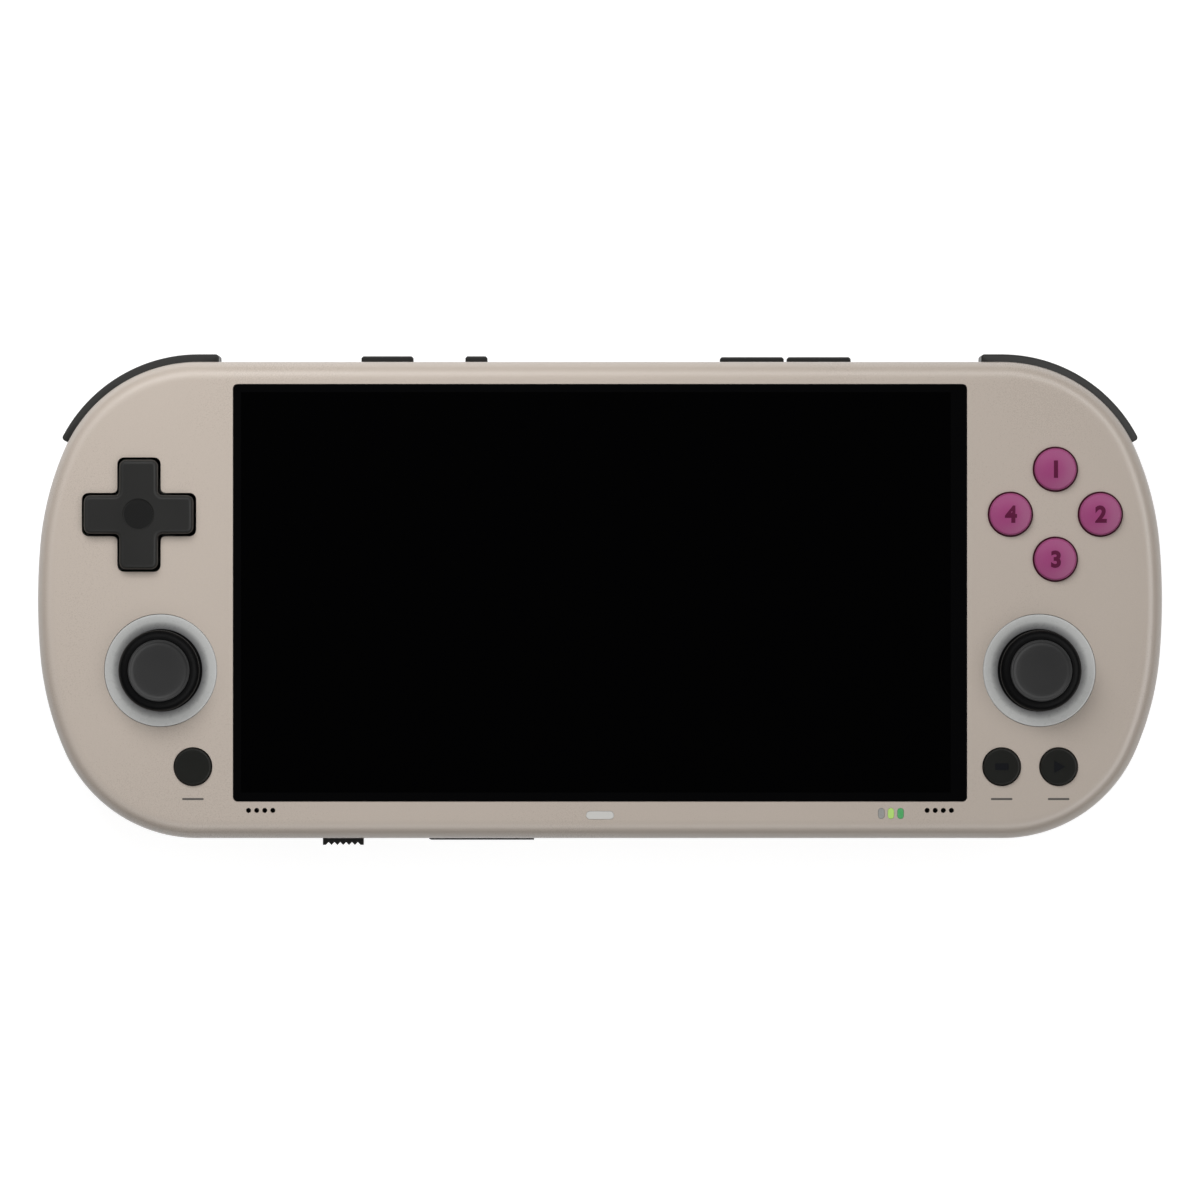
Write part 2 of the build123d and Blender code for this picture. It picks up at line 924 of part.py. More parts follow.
def on_dome(radius, share):
    """Point of the dome's profile at a share of the way from the neck to the skirt."""
    neck = math.asin(stick_neck_radius / stick_dome_radius)
    angle = neck + (math.acos(stick_dome_share) - neck) * share
    return (radius * math.sin(angle), radius * math.cos(angle))


def stick_cap():
    top = stick_cap_up + stick_cap_high
    inner = stick_dome_radius - stick_dome_wall
    socket_z = arch_outer + stick_click + stick_socket_clear
    points = [
        (stick_neck_radius, stick_under_up),
        (stick_cap_radius, stick_under_up),
        (stick_cap_radius, stick_cap_up),
        (stick_rim_radius, top),
        (stick_dish_radius, top - stick_dish),
        (0, top - stick_dish),
        (0, stick_shaft_up),
        (stick_shaft_radius, stick_shaft_up),
        (stick_shaft_radius, socket_z),
        (stick_socket_radius, socket_z),
        (stick_socket_radius, math.sqrt(inner ** 2 - stick_socket_radius ** 2)),
    ]
    points += [on_dome(inner, share) for share in inner_dome_shares]
    points += [on_dome(stick_dome_radius, share) for share in reversed(outer_dome_shares)]
    return turned(points)


def stick_shaft():
    return post(stick_shaft_radius, -stick_shaft_tail, stick_shaft_up)


def along(axis, shape):
    """Turns a piece that is drawn along Z to lie along X or Y."""
    return Rot(0, right_angle, 0) * shape if axis == "x" else Rot(right_angle, 0, 0) * shape


def stick_rocker():
    half = rocker_thick / 2
    body = plate(rocker_size, rocker_size, -half, half)
    reach = yoke_size / 2
    pin = along("y", post(rocker_pin_radius, -reach, reach))
    hole = post(stick_shaft_radius + stick_gap, -rocker_thick, rocker_thick)
    return body + pin - hole


def stick_yoke():
    half = yoke_thick / 2
    frame = plate(yoke_size, yoke_size, -half, half) - plate(yoke_hole, yoke_hole, -half, half)
    notch = rocker_pin_radius + stick_gap
    frame -= block((-notch, -yoke_size, -yoke_thick), (notch, yoke_size, notch))
    reach = module_bore + module_wall
    inner = yoke_hole / 2 + fit_gap
    pins = [along("x", post(yoke_pin_radius, side * inner, side * reach)) if side > 0 else
            along("x", post(yoke_pin_radius, -reach, -inner)) for side in (1, -1)]
    return frame + pins


def arch_side(radius):
    """One side of the bow: flats round the pivot, standing on short legs."""
    step = math.pi / arch_flats
    reach = radius / math.cos(step / 2)
    angles = [step * (count + 1) - step / 2 for count in range(arch_flats)]
    bend = [(0, reach * math.cos(angle), reach * math.sin(angle)) for angle in angles]
    return [(0, radius, -yoke_pin_radius)] + bend + [(0, -radius, -yoke_pin_radius)]


def stick_arch():
    """Slotted bow over the shaft, hinged across the module."""
    outer = arch_side(arch_outer)
    inner = arch_side(arch_inner)
    profile = make_face(Polyline(*outer, *reversed(inner), close=True))
    bow = extrude(profile, arch_half, both=True)
    slot = block(
        (-arch_slot_half, -arch_slot_reach, 0), (arch_slot_half, arch_slot_reach, arch_outer + overrun)
    )
    reach = module_bore + module_wall
    inner = (arch_inner + arch_outer) / 2
    pins = [
        along("y", post(yoke_pin_radius, inner, reach)),
        along("y", post(yoke_pin_radius, -reach, -inner)),
    ]
    return bow - slot + pins


def stick_module():
    """Eight-sided housing whose walls have notches for the yoke and the arch to turn in."""
    base_top = -module_base_down
    top = module_up
    base = plate(module_size, module_size, -module_down, base_top)
    outer = 2 * (module_bore + module_wall)
    wall = plate(outer, outer, base_top, top)
    wall = chamfer(wall.edges().filter_by(Axis.Z), module_corner)
    room = plate(2 * module_bore, 2 * module_bore, base_top, top)
    room = chamfer(room.edges().filter_by(Axis.Z), module_corner - module_wall / 2)
    wall -= room
    notch = yoke_pin_radius + stick_gap
    wall -= block((-module_size, -notch, -notch), (module_size, notch, top))
    wall -= block((-notch, -module_size, -notch), (notch, module_size, top))
    return base + wall


def light_ring():
    """Dished ring, held under the front face by four lugs."""
    flange_top = roof_z - ring_gap
    low = flange_top - ring_flange
    ring = turned([
        (ring_inner, ring_low), (ring_inner, ring_low + ring_edge), (ring_radius, body_height),
        (ring_radius, low), (ring_radius - ring_edge, low), (ring_radius - ring_edge, ring_low),
    ])
    reach = ring_radius + ring_lug
    lugs = plate(2 * reach, lug_width, low, flange_top) + plate(lug_width, 2 * reach, low, flange_top)
    inner = 2 * (ring_radius - ring_edge / 2)
    return ring + (lugs - plate(inner, inner, low, flange_top))


def stick_at(side):
    return Pos(side * stick_x, stick_y, stick_z)


# Edge pieces


def edge_button(x, width, proud):
    root = inner_wall - rest_gap - edge_flange
    stem = edge_block(x, width, edge_high, root, half_width + proud)
    stem = chamfer(stem.edges().group_by(Axis.Y)[-1], edge_bevel)
    flange = edge_block(x, width, edge_high + 2 * edge_flange_out, root, root + edge_flange)
    return stem + flange


def side_switches():
    front = inner_wall - rest_gap - edge_flange - edge_travel - rest_gap
    return [
        block(
            (x - edge_switch_length / 2, front - edge_switch_deep, board_top),
            (x + edge_switch_length / 2, front, board_top + edge_switch_high),
        )
        for x, width, proud in edge_buttons.values()
    ]


def mode_slider():
    """Ridged slider: V notches across its outer face, and a neck through the wall."""
    outer = -half_width - slider_proud
    inner = slider_seat - half_width - edge_gap
    left = -slider_width / 2
    points = [(left, inner), (left, outer)]
    first = -(slider_teeth - 1) / 2 * slider_pitch
    for step in range(slider_teeth):
        middle = first + step * slider_pitch
        points.append((middle - slider_notch, outer))
        points.append((middle, outer + slider_notch))
        points.append((middle + slider_notch, outer))
    points += [(-left, outer), (-left, inner)]
    plan = make_face(Polyline(*points, close=True))
    head = Pos(slider_x, 0, edge_z - edge_high / 2) * extrude(plan, edge_high)
    neck = edge_block(slider_x, slider_neck, slider_neck_high, inner, -inner_wall + edge_flange)
    return head + neck


def mode_switch_base():
    near = -inner_wall + edge_flange + rest_gap
    return block(
        (slider_x - slider_base_length / 2, near, board_top),
        (slider_x + slider_base_length / 2, near + slider_base_deep, board_top + edge_switch_high),
    )


def cover_hinge():
    """Where the card cover turns: the middle of its rounded left end."""
    thick = cover_proud + cover_seat
    return (cover_x - (cover_width - thick) / 2, -half_width - cover_proud + thick / 2)


def card_cover():
    thick = cover_proud + cover_seat
    x, y = cover_hinge()
    low = edge_z - cover_high / 2
    strip = block((x, y - thick / 2, low), (cover_x + cover_width / 2, y + thick / 2, low + cover_high))
    strip += post(thick / 2, low, low + cover_high, x, y)
    plug = edge_block(
        cover_x, cover_hole_width - 2 * cover_plug_gap, cover_hole_high - 2 * cover_plug_gap,
        y, y + thick / 2 + cover_plug_deep,
    )
    return strip + plug


def card_socket():
    front = -inner_wall + edge_flange
    width = card_length + 2 * card_wall
    body = block(
        (cover_x - width / 2, front, board_top),
        (cover_x + width / 2, front + card_deep, board_top + card_high + 2 * card_wall),
    )
    hole = block(
        (cover_x - card_length / 2, front - overrun, board_top + card_wall),
        (cover_x + card_length / 2, front + card_deep - card_wall, board_top + card_wall + card_high),
    )
    return body - hole


def charge_port():
    """Oval receptacle with a tongue, its mouth set back in the wall."""
    mouth = port_inset - half_width
    turn = Pos(port_x, mouth, edge_z) * Rot(-right_angle, 0, 0)
    tube = extrude(SlotOverall(port_width, port_high), port_deep)
    hollow = extrude(
        SlotOverall(port_width - 2 * port_wall, port_high - 2 * port_wall), port_deep - port_wall
    )
    tongue = Pos(0, 0, port_tongue_short) * extrude(
        Rectangle(port_tongue_width, port_tongue), port_deep - port_tongue_short
    )
    return turn * (tube - hollow + tongue)


def headphone_jack():
    face = -half_width
    inner = -inner_wall + fit_gap
    turn = Pos(jack_x, face, edge_z) * Rot(-right_angle, 0, 0)
    barrel = extrude(Circle(jack_barrel_radius), side_wall + 2 * fit_gap)
    bore = extrude(Circle(jack_bore_radius), jack_bore_deep)
    body = edge_block(jack_x, jack_body, jack_body_high, inner, face + jack_bore_deep + jack_end)
    return turn * barrel + body - turn * bore


def speaker():
    x = half_length - speaker_in
    y = speaker_up - half_width
    high = roof_z - fit_gap
    body = plate(speaker_length, speaker_width, high - speaker_thick, high, x, y)
    return body - plate(
        speaker_length - 2 * speaker_cone, speaker_width - 2 * speaker_cone, high - speaker_cone,
        high, x, y,
    )


def center_light():
    pill = Pos(0, pill_up - half_width, roof_z - fit_gap) * extrude(
        SlotOverall(pill_length, pill_width), roof + fit_gap
    )
    foot = plate(
        pill_length + 2 * window_foot_out, pill_width + 2 * window_foot_out,
        roof_z - fit_gap - window_foot, roof_z - fit_gap, 0, pill_up - half_width,
    )
    return pill + foot


def status_lights():
    y = status_up - half_width
    lights = [
        Pos(x, y, roof_z - fit_gap) * Rot(0, 0, right_angle)
        * extrude(SlotOverall(status_high, status_width), roof + fit_gap)
        for x in status_places()
    ]
    foot = plate(
        2 * status_pitch + status_width, status_high, roof_z - fit_gap - window_foot,
        roof_z - fit_gap, status_x, y,
    )
    return foot + lights


# Inside


def board_wing():
    """Right end of the board, which carries the controls."""
    plan = outline(board_inset) & Pos(board_mid_half, 0) * Rectangle(
        body_length, body_length, align=(Align.MIN, Align.CENTER)
    )
    wing = Pos(0, 0, board_z) * extrude(plan, board_thick)
    wing -= column(2 * (shoulder_hub + board_room), board_z, board_top, pin_at)
    gap = 2 * (stick_dome_radius + board_room)
    wing -= plate(gap, gap, board_z, board_top, stick_x, stick_y)
    room = boss_size + 2 * board_room
    return wing - [column(room, board_z, board_top, place) for place in boss_places()]


def main_board():
    middle = 2 * (inner_wall - edge_flange - edge_travel - board_gap)
    board = plate(2 * board_mid_half, middle, board_z, board_top) + both(board_wing())
    cuts = [
        edge_block(
            jack_x, jack_body + 2 * fit_gap, body_height, -half_width,
            jack_bore_deep + jack_end + fit_gap - half_width,
        ),
        edge_block(
            port_x, port_width + 2 * fit_gap, body_height, -half_width,
            port_inset + port_deep + fit_gap - half_width,
        ),
    ]
    return board - cuts


def battery():
    return plate(
        battery_length, battery_width, floor_z + fit_gap, board_z - battery_gap, 0, battery_y
    )


def shield_can():
    return plate(can_size, can_size, board_top, board_top + can_high, 0, battery_y)


def heat_spreader():
    low = board_top + can_high
    return plate(spreader_length, spreader_width, low, low + spreader_thick, 0, battery_y)


def shell_screws():
    low = recess_depth - screw_head
    one = post(screw_head_radius, low, recess_depth)
    one += post(screw_radius, recess_depth, recess_depth + screw_length)
    return [Pos(*place, 0) * one for place in boss_places()]


def build():
    save("front_shell", front_shell())
    save("rear_shell", rear_shell())
    save("front_glass", front_glass())
    save("glass_adhesive", glass_adhesive())
    save("display_panel", display_panel())
    save("main_board", main_board())
    save("battery", battery())
    save("shield_can", shield_can())
    save("heat_spreader", heat_spreader())
    save("shell_screws", *shell_screws())
    save("dpad", dpad())
    save("dpad_pivot", dpad_pivot())
    save("dpad_membrane", dpad_membrane())
    save("face_button_membrane", face_button_membrane())
    save("small_button_membranes", *small_button_membranes())
    for name, place in face_places.items():
        save(name, face_button(place))
    for name, place in small_places.items():
        save(name, small_button(place))
    for name, side in sides.items():
        place = stick_at(side)
        save(f"{name}_stick_cap", place * stick_cap())
        save(f"{name}_stick_shaft", place * stick_shaft())
        save(f"{name}_stick_rocker", place * stick_rocker())
        save(f"{name}_stick_yoke", place * stick_yoke())
        save(f"{name}_stick_arch", place * stick_arch())
        save(f"{name}_stick_module", place * stick_module())
        save(f"{name}_light_ring", Pos(side * stick_x, stick_y, 0) * light_ring())
        save(f"{name}_speaker", side_of(speaker(), side))
        for level in shoulder_levels:
            save(f"{name}_{level}_shoulder", side_of(shoulder_lever(level), side))
    save("shoulder_pins", *both(shoulder_pin()))
    save("shoulder_switches", *[s for one in shoulder_switches() for s in both(one)])
    for name, (x, width, proud) in edge_buttons.items():
        save(name, edge_button(x, width, proud))
    save("side_switches", *side_switches())
    save("mode_slider", mode_slider())
    save("mode_switch_base", mode_switch_base())
    save("card_cover", card_cover())
    save("card_socket", card_socket())
    save("charge_port", charge_port())
    save("headphone_jack", headphone_jack())
    save("center_light", center_light())
    save("status_lights", status_lights())


build()
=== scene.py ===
import bpy
import bmesh
import json
import math
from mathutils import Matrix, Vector


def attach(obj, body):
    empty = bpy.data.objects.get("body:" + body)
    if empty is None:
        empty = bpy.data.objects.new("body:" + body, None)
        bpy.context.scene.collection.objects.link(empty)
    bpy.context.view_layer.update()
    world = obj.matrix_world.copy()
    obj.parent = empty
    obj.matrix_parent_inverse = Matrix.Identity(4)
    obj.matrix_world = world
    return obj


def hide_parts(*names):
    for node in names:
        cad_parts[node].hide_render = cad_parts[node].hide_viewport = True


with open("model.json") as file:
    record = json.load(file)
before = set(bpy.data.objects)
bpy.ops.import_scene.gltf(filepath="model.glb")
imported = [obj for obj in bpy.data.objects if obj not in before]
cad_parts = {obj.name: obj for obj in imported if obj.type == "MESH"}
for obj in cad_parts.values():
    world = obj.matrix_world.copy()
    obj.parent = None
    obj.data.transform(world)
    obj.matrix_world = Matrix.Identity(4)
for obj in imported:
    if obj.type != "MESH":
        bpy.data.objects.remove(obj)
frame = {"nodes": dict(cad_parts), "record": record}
for spare in ("Cube", "Light", "Camera"):  # Blender's own start scene
    if spare in bpy.data.objects:
        bpy.data.objects.remove(bpy.data.objects[spare])
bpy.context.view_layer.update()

# Sizes are in millimetres about the middle of the console, and meshOf turns them into metres
mm = 0.001
middleY = -0.08  # the slider and the shoulder buttons stand out by different amounts
bothSides = {"left": -1, "right": 1}
slots = {one["node"]: one["material_slot"] for one in frame["record"]["subparts"]}

body = {
    "length": 188.0, "width": 79.66, "height": 17.0,
    "sideRadius": 109.94, "haunchRadius": 50.52, "sideAngle": 4.8, "haunchAngle": 23.69,
    "wall": 1.8, "roof": 1.6, "floor": 1.6, "seam": 8.6, "seamEdge": 0.14,
}
halfLength, halfWidth = body["length"] / 2, body["width"] / 2
roofZ = body["height"] - body["roof"]


class Signal:
    # one output socket; a sum written with it adds the Math nodes
    def __init__(self, tree, socket):
        self.tree, self.socket = tree, socket

    def maths(self, operation, first, second=0.0):
        return self.tree.node("ShaderNodeMath", {"operation": operation}, {0: first, 1: second})

    def __add__(self, other): return self.maths("ADD", self, other)
    def __sub__(self, other): return self.maths("SUBTRACT", self, other)
    def __mul__(self, other): return self.maths("MULTIPLY", self, other)
    def __truediv__(self, other): return self.maths("DIVIDE", self, other)
    def __pow__(self, other): return self.maths("POWER", self, other)
    def __gt__(self, other): return self.maths("GREATER_THAN", self, other)
    def __lt__(self, other): return self.maths("LESS_THAN", self, other)
    def __rsub__(self, other): return self.maths("SUBTRACT", other, self)
    def __rtruediv__(self, other): return self.maths("DIVIDE", other, self)
    def __rpow__(self, other): return self.maths("POWER", other, self)
    __radd__ = __add__
    __rmul__ = __mul__


class NodeTree:
    def __init__(self, tree):
        self.nodes, self.links = tree.nodes, tree.links

    def node(self, kind, settings={}, inputs={}, output=0):
        # settings first, then values or links; a tuple of outputs gives a list of signals
        made = self.nodes.new(kind)
        for name, value in settings.items():
            if name == "stops":
                ramp = made.color_ramp.elements
                while len(ramp) < len(value):
                    ramp.new(0.5)
                for stop, (place, colour) in zip(ramp, value):
                    stop.position, stop.color = place, (*colour, 1)
            else:
                setattr(made, name, value)
        for name, value in inputs.items():
            self.plug(made.inputs[name], value)
        if isinstance(output, tuple):
            return [Signal(self, made.outputs[name]) for name in output]
        return Signal(self, made.outputs[output])

    def plug(self, socket, value):
        if isinstance(value, Signal):
            self.links.new(value.socket, socket)
        elif isinstance(value, tuple) and len(value) == 3 and socket.type == "RGBA":
            socket.default_value = (*value, 1)
        else:
            socket.default_value = value

    def blendColour(self, share, first, second):
        return self.node("ShaderNodeMix", {"data_type": "RGBA"}, {0: share, 6: first, 7: second}, 2)


class Finish(NodeTree):
    def __init__(self, name):
        self.material = bpy.data.materials.new(name)
        self.material.use_nodes = True
        super().__init__(self.material.node_tree)
        self.shader = self.nodes["Principled BSDF"]
        self.place = self.node("ShaderNodeTexCoord", output="Object")

    def put(self, **values):
        names = {
            "colour": "Base Color", "roughness": "Roughness", "metal": "Metallic",
            "coat": "Coat Weight", "coatRoughness": "Coat Roughness", "normal": "Normal",
            "specular": "Specular IOR Level", "glow": "Emission Color", "glowStrength": "Emission Strength",
        }
        for name, value in values.items():
            self.plug(self.shader.inputs[names[name]], value)
        return self.material

    def noise(self, scale, detail):
        inputs = {"Vector": self.place, "Scale": scale, "Detail": detail, "Roughness": 0.5}
        return self.node("ShaderNodeTexNoise", {}, inputs)

    def axes(self):
        return self.node("ShaderNodeSeparateXYZ", {}, {0: self.place}, (0, 1, 2))

    def bump(self, height, depth):
        return self.node("ShaderNodeBump", {}, {"Height": height, "Distance": depth, "Strength": 1.0})


def tint(colour, times):
    return tuple(min(1.0, part * times) for part in colour)


plastic = {"dark": 0.82, "light": 1.18, "driftRough": 0.1, "grainRough": 0.12,
           "fleckScale": 1.7, "fleckAbove": 0.68, "fleckColour": (1.0, 0.97, 0.94)}


def moulded(name, look):
    # moulded plastic: fine spark grain, a faint drift of colour and the odd bright fleck
    paint = Finish(name)
    grain = paint.noise(look["grain"], 3.0)
    drift = paint.noise(look["drift"], 2.0)
    fleck = paint.noise(look["grain"] * plastic["fleckScale"], 1.0) > plastic["fleckAbove"]
    share = (grain - 0.5) * look["speck"] + (drift - 0.5) * look["spread"] + 0.5
    base = paint.blendColour(share, tint(look["colour"], plastic["dark"]), tint(look["colour"], plastic["light"]))
    base = paint.blendColour(fleck * look.get("fleck", 0.0), base, plastic["fleckColour"])
    rough = (drift - 0.5) * plastic["driftRough"] + (grain - 0.5) * plastic["grainRough"] + look["roughness"]
    return paint.put(colour=base, roughness=rough, normal=paint.bump(grain, look["depth"] * mm),
                     specular=look.get("specular", 0.5))


finishes = {}
plasticLooks = {
    "shell_taupe": {"colour": (0.503, 0.438, 0.382), "grain": 7200, "drift": 38, "speck": 0.36,
                    "spread": 0.12, "roughness": 0.29, "depth": 0.0018, "fleck": 0.06, "specular": 0.85},
    "magenta_plastic": {"colour": (0.318, 0.056, 0.178), "grain": 8200, "drift": 160, "speck": 0.4,
                        "spread": 0.25, "roughness": 0.36, "depth": 0.004},
    "black_plastic": {"colour": (0.0226, 0.0224, 0.0217), "grain": 7600, "drift": 130, "speck": 0.6,
                      "spread": 0.3, "roughness": 0.36, "depth": 0.006, "specular": 0.3},
    "small_key": {"colour": (0.0125, 0.0128, 0.0112), "grain": 7600, "drift": 150, "speck": 0.6,
                  "spread": 0.3, "roughness": 0.36, "depth": 0.005, "specular": 0.28},
    "stick_dish": {"colour": (0.031, 0.031, 0.0312), "grain": 5200, "drift": 180, "speck": 0.5,
                   "spread": 0.4, "roughness": 0.33, "depth": 0.006, "specular": 0.34},
    "pad_centre": {"colour": (0.011, 0.011, 0.0108), "grain": 7600, "drift": 150, "speck": 0.5,
                   "spread": 0.3, "roughness": 0.4, "depth": 0.004, "specular": 0.25},
    "key_sign": {"colour": (0.0032, 0.0036, 0.0058), "grain": 8000, "drift": 300, "speck": 0.4,
                 "spread": 0.3, "roughness": 0.5, "depth": 0.002, "specular": 0.2},
    "shoulder_plastic": {"colour": (0.0188, 0.0182, 0.017), "grain": 7000, "drift": 90, "speck": 0.5,
                         "spread": 0.3, "roughness": 0.42, "depth": 0.006},
    "berry_sign": {"colour": (0.1, 0.006, 0.04), "grain": 8200, "drift": 160, "speck": 0.3,
                   "spread": 0.2, "roughness": 0.5, "depth": 0.002, "specular": 0.2},
    # the collar's dark plum is painted shade in the gap round each face button
    "plum_collar": {"colour": (0.06, 0.0045, 0.02), "grain": 8200, "drift": 160, "speck": 0.3,
                    "spread": 0.2, "roughness": 0.4, "depth": 0.002, "specular": 0.3},
    "print_ink": {"colour": (0.09, 0.082, 0.075), "grain": 9000, "drift": 400, "speck": 0.4,
                  "spread": 0.4, "roughness": 0.55, "depth": 0.002},
}
for name, look in plasticLooks.items():
    finishes[name] = moulded(name, look)


def stickRubber():
    # black rim with a fine ribbed edge; its near-black colour, far darker than the dish of the same rubber, is painted
    # shade
    look = {"edge": 6.6, "colour": (0.0026, 0.0026, 0.0028), "dust": (0.04, 0.04, 0.04), "ribs": 90.0,
            "ribHigh": 0.5, "depth": 0.02, "roughness": 0.36}
    paint = Finish("stick_rubber")
    x, y, z = paint.axes()
    edge = (x * x + y * y) ** 0.5 > look["edge"] * mm
    grain = paint.noise(5200, 3.0)
    base = paint.blendColour((grain - 0.5) * 0.2 + 0.03, look["colour"], look["dust"])
    turn = paint.node("ShaderNodeMath", {"operation": "ARCTAN2"}, {0: y, 1: x})
    ribs = paint.node("ShaderNodeMath", {"operation": "SINE"}, {0: turn * look["ribs"]})
    return paint.put(colour=base, roughness=(grain - 0.5) * 0.1 + look["roughness"], specular=0.09,
                     normal=paint.bump(ribs * edge * look["ribHigh"] + grain * 0.1, look["depth"] * mm))


def lightRing():
    # glossy pale band; its darkening towards the stick is painted shade from the cap above it, and its glow is painted
    # light
    look = {"paintedShadeFullAt": 6.9, "paintedShadeEndsAt": 8.2, "dark": (0.075, 0.075, 0.077), "pale": (0.27, 0.272, 0.267),
            "roughness": 0.24, "glow": 0.78}
    paint = Finish("pale_ring")
    x, y, z = paint.axes()
    out = (x * x + y * y) ** 0.5
    cloud = paint.noise(900, 2.0)
    # painted shade: the colour runs from dark at the stick to pale further out, standing in for the cap's shadow on the
    # band
    share = (out / mm - look["paintedShadeFullAt"]) / (look["paintedShadeEndsAt"] - look["paintedShadeFullAt"]) + (cloud - 0.5) * 0.1
    base = paint.blendColour(share, look["dark"], look["pale"])
    # painted light: the band glows with its own colour though it is not lit
    return paint.put(colour=base, roughness=cloud * 0.08 + look["roughness"], coat=0.2, coatRoughness=0.15,
                     glow=base, glowStrength=look["glow"])


def coverGlass():
    # black printed glass; the display under it is a shade deeper
    look = {"left": -59.9, "right": 58.5, "low": -32.2, "high": 34.6, "roughness": 0.035,
            "print": (0.0019, 0.0019, 0.0021), "display": (0.0006, 0.0006, 0.0007)}
    paint = Finish("cover_glass")
    x, y, z = paint.axes()
    inside = (x > look["left"] * mm) * (x < look["right"] * mm)
    inside = inside * (y > look["low"] * mm) * (y < look["high"] * mm)
    smear = paint.noise(26, 4.0)
    base = paint.blendColour(inside, look["print"], look["display"])
    return paint.put(colour=base, roughness=smear * 0.05 + look["roughness"], specular=0.28)


def metal(name, colour, rough, brush):
    look = {"dark": 0.86, "roughSpread": 0.2, "depth": 0.004}
    paint = Finish(name)
    lines = paint.noise(brush, 3.0)
    base = paint.blendColour(lines, tint(colour, look["dark"]), colour)
    return paint.put(colour=base, metal=1.0, roughness=(lines - 0.5) * look["roughSpread"] + rough,
                     normal=paint.bump(lines, look["depth"] * mm))


def plainStuff(name, colour, rough, scale, spread=0.3):
    # what lies inside: display, silicone, foil and adhesive
    look = {"roughSpread": 0.2, "depth": 0.01}
    paint = Finish(name)
    grain = paint.noise(scale, 3.0)
    base = paint.blendColour(grain, tint(colour, 1 - spread), tint(colour, 1 + spread))
    return paint.put(colour=base, roughness=(grain - 0.5) * look["roughSpread"] + rough,
                     normal=paint.bump(grain, look["depth"] * mm))


def solderMask():
    # board with paler tracks, hidden inside the shells
    look = {"green": (0.006, 0.03, 0.02), "other": (0.008, 0.036, 0.024), "tracks": (0.02, 0.07, 0.045)}
    paint = Finish("board")
    tracks = paint.node("ShaderNodeTexBrick", {}, {
        "Vector": paint.place, "Scale": 260.0, "Mortar Size": 0.06,
        "Color1": look["green"], "Color2": look["other"], "Mortar": look["tracks"]})
    grain = paint.noise(900, 2.0)
    return paint.put(colour=tracks, roughness=(grain - 0.5) * 0.1 + 0.3)


def windowPlastic():
    # three small windows in a row, and the pale pill in the middle
    look = {"rowFrom": 40, "first": 47.73, "second": 49.33, "pale": (0.52, 0.51, 0.49), "grey": (0.25, 0.25, 0.24),
            "lime": (0.4, 0.66, 0.13), "green": (0.03, 0.33, 0.08), "haze": (0.6, 0.6, 0.58), "glow": 0.14}
    paint = Finish("light_window")
    x, y, z = paint.axes()
    cloud = paint.noise(2400, 2.0)
    base = paint.blendColour(x > look["rowFrom"] * mm, look["pale"], look["grey"])
    base = paint.blendColour(x > look["first"] * mm, base, look["lime"])
    base = paint.blendColour(x > look["second"] * mm, base, look["green"])
    base = paint.blendColour(cloud * 0.2, base, look["haze"])
    return paint.put(colour=base, roughness=cloud * 0.1 + 0.2, coat=0.3, coatRoughness=0.1,
                     glow=base, glowStrength=look["glow"])


finishes["stick_rubber"] = stickRubber()
finishes["pale_ring"] = lightRing()
finishes["cover_glass"] = coverGlass()
finishes["steel"] = metal("steel", (0.5, 0.5, 0.51), 0.32, 1800)
finishes["screw_steel"] = metal("screw_steel", (0.09, 0.09, 0.095), 0.36, 2600)
finishes["display_black"] = plainStuff("display_black", (0.002, 0.002, 0.003), 0.2, 600)
finishes["silicone"] = plainStuff("silicone", (0.2, 0.2, 0.205), 0.6, 700, 0.12)
finishes["battery_foil"] = plainStuff("battery_foil", (0.03, 0.03, 0.033), 0.35, 300)
finishes["adhesive"] = plainStuff("adhesive", (0.006, 0.006, 0.006), 0.7, 900)
finishes["board"] = solderMask()
finishes["light_window"] = windowPlastic()
print("finishes made:", len(finishes))


def meshOf(name, points, faces, at=None):
    # points are in millimetres, from the console's middle or, with a place given, from there
    mesh = bpy.data.meshes.new(name)
    shift = (0, 0, 0) if at else (0, middleY, 0)
    mesh.from_pydata([tuple((p + s) * mm for p, s in zip(one, shift)) for one in points], [], faces)
    work = bmesh.new()
    work.from_mesh(mesh)
    bmesh.ops.recalc_face_normals(work, faces=work.faces)
    work.to_mesh(mesh)
    work.free()
    piece = bpy.data.objects.new(name, mesh)
    bpy.context.scene.collection.objects.link(piece)
    if at:
        piece.location = (at[0] * mm, (at[1] + middleY) * mm, at[2] * mm)
    return piece


def stack(name, rings, level=2):
    # closed solid through rings of points; level is the axis that the heights run along
    points = []
    for ring, height in rings:
        points += [(a, b, height) if level == 2 else (a, height, b) for a, b in ring]
    count = len(rings[0][0])
    faces = [list(range(count)), list(range(len(points) - count, len(points)))]
    for row in range(len(rings) - 1):
        for i in range(count):
            a, b = row * count + i, row * count + (i + 1) % count
            faces.append((a, b, b + count, a + count))
    return meshOf(name, points, faces)


def lathe(name, profile, at, steps=72):
    # profile of (radius, height) points; one that starts off the axis closes on itself
    points, rows = [], []
    for radius, height in profile:
        start = len(points)
        if radius < 1e-6:
            points.append((0, 0, height))
            rows.append([start] * steps)
        else:
            for i in range(steps):
                turn = 2 * math.pi * i / steps
                points.append((radius * math.cos(turn), radius * math.sin(turn), height))
            rows.append(list(range(start, start + steps)))
    joins = list(zip(rows, rows[1:]))
    if profile[0][0] > 1e-6:
        joins.append((rows[-1], rows[0]))
    faces = []
    for low, high in joins:
        for i in range(steps):
            corners = list(dict.fromkeys([low[i], low[(i + 1) % steps], high[(i + 1) % steps], high[i]]))
            if len(corners) > 2:
                faces.append(corners)
    return meshOf(name, points, faces, at)


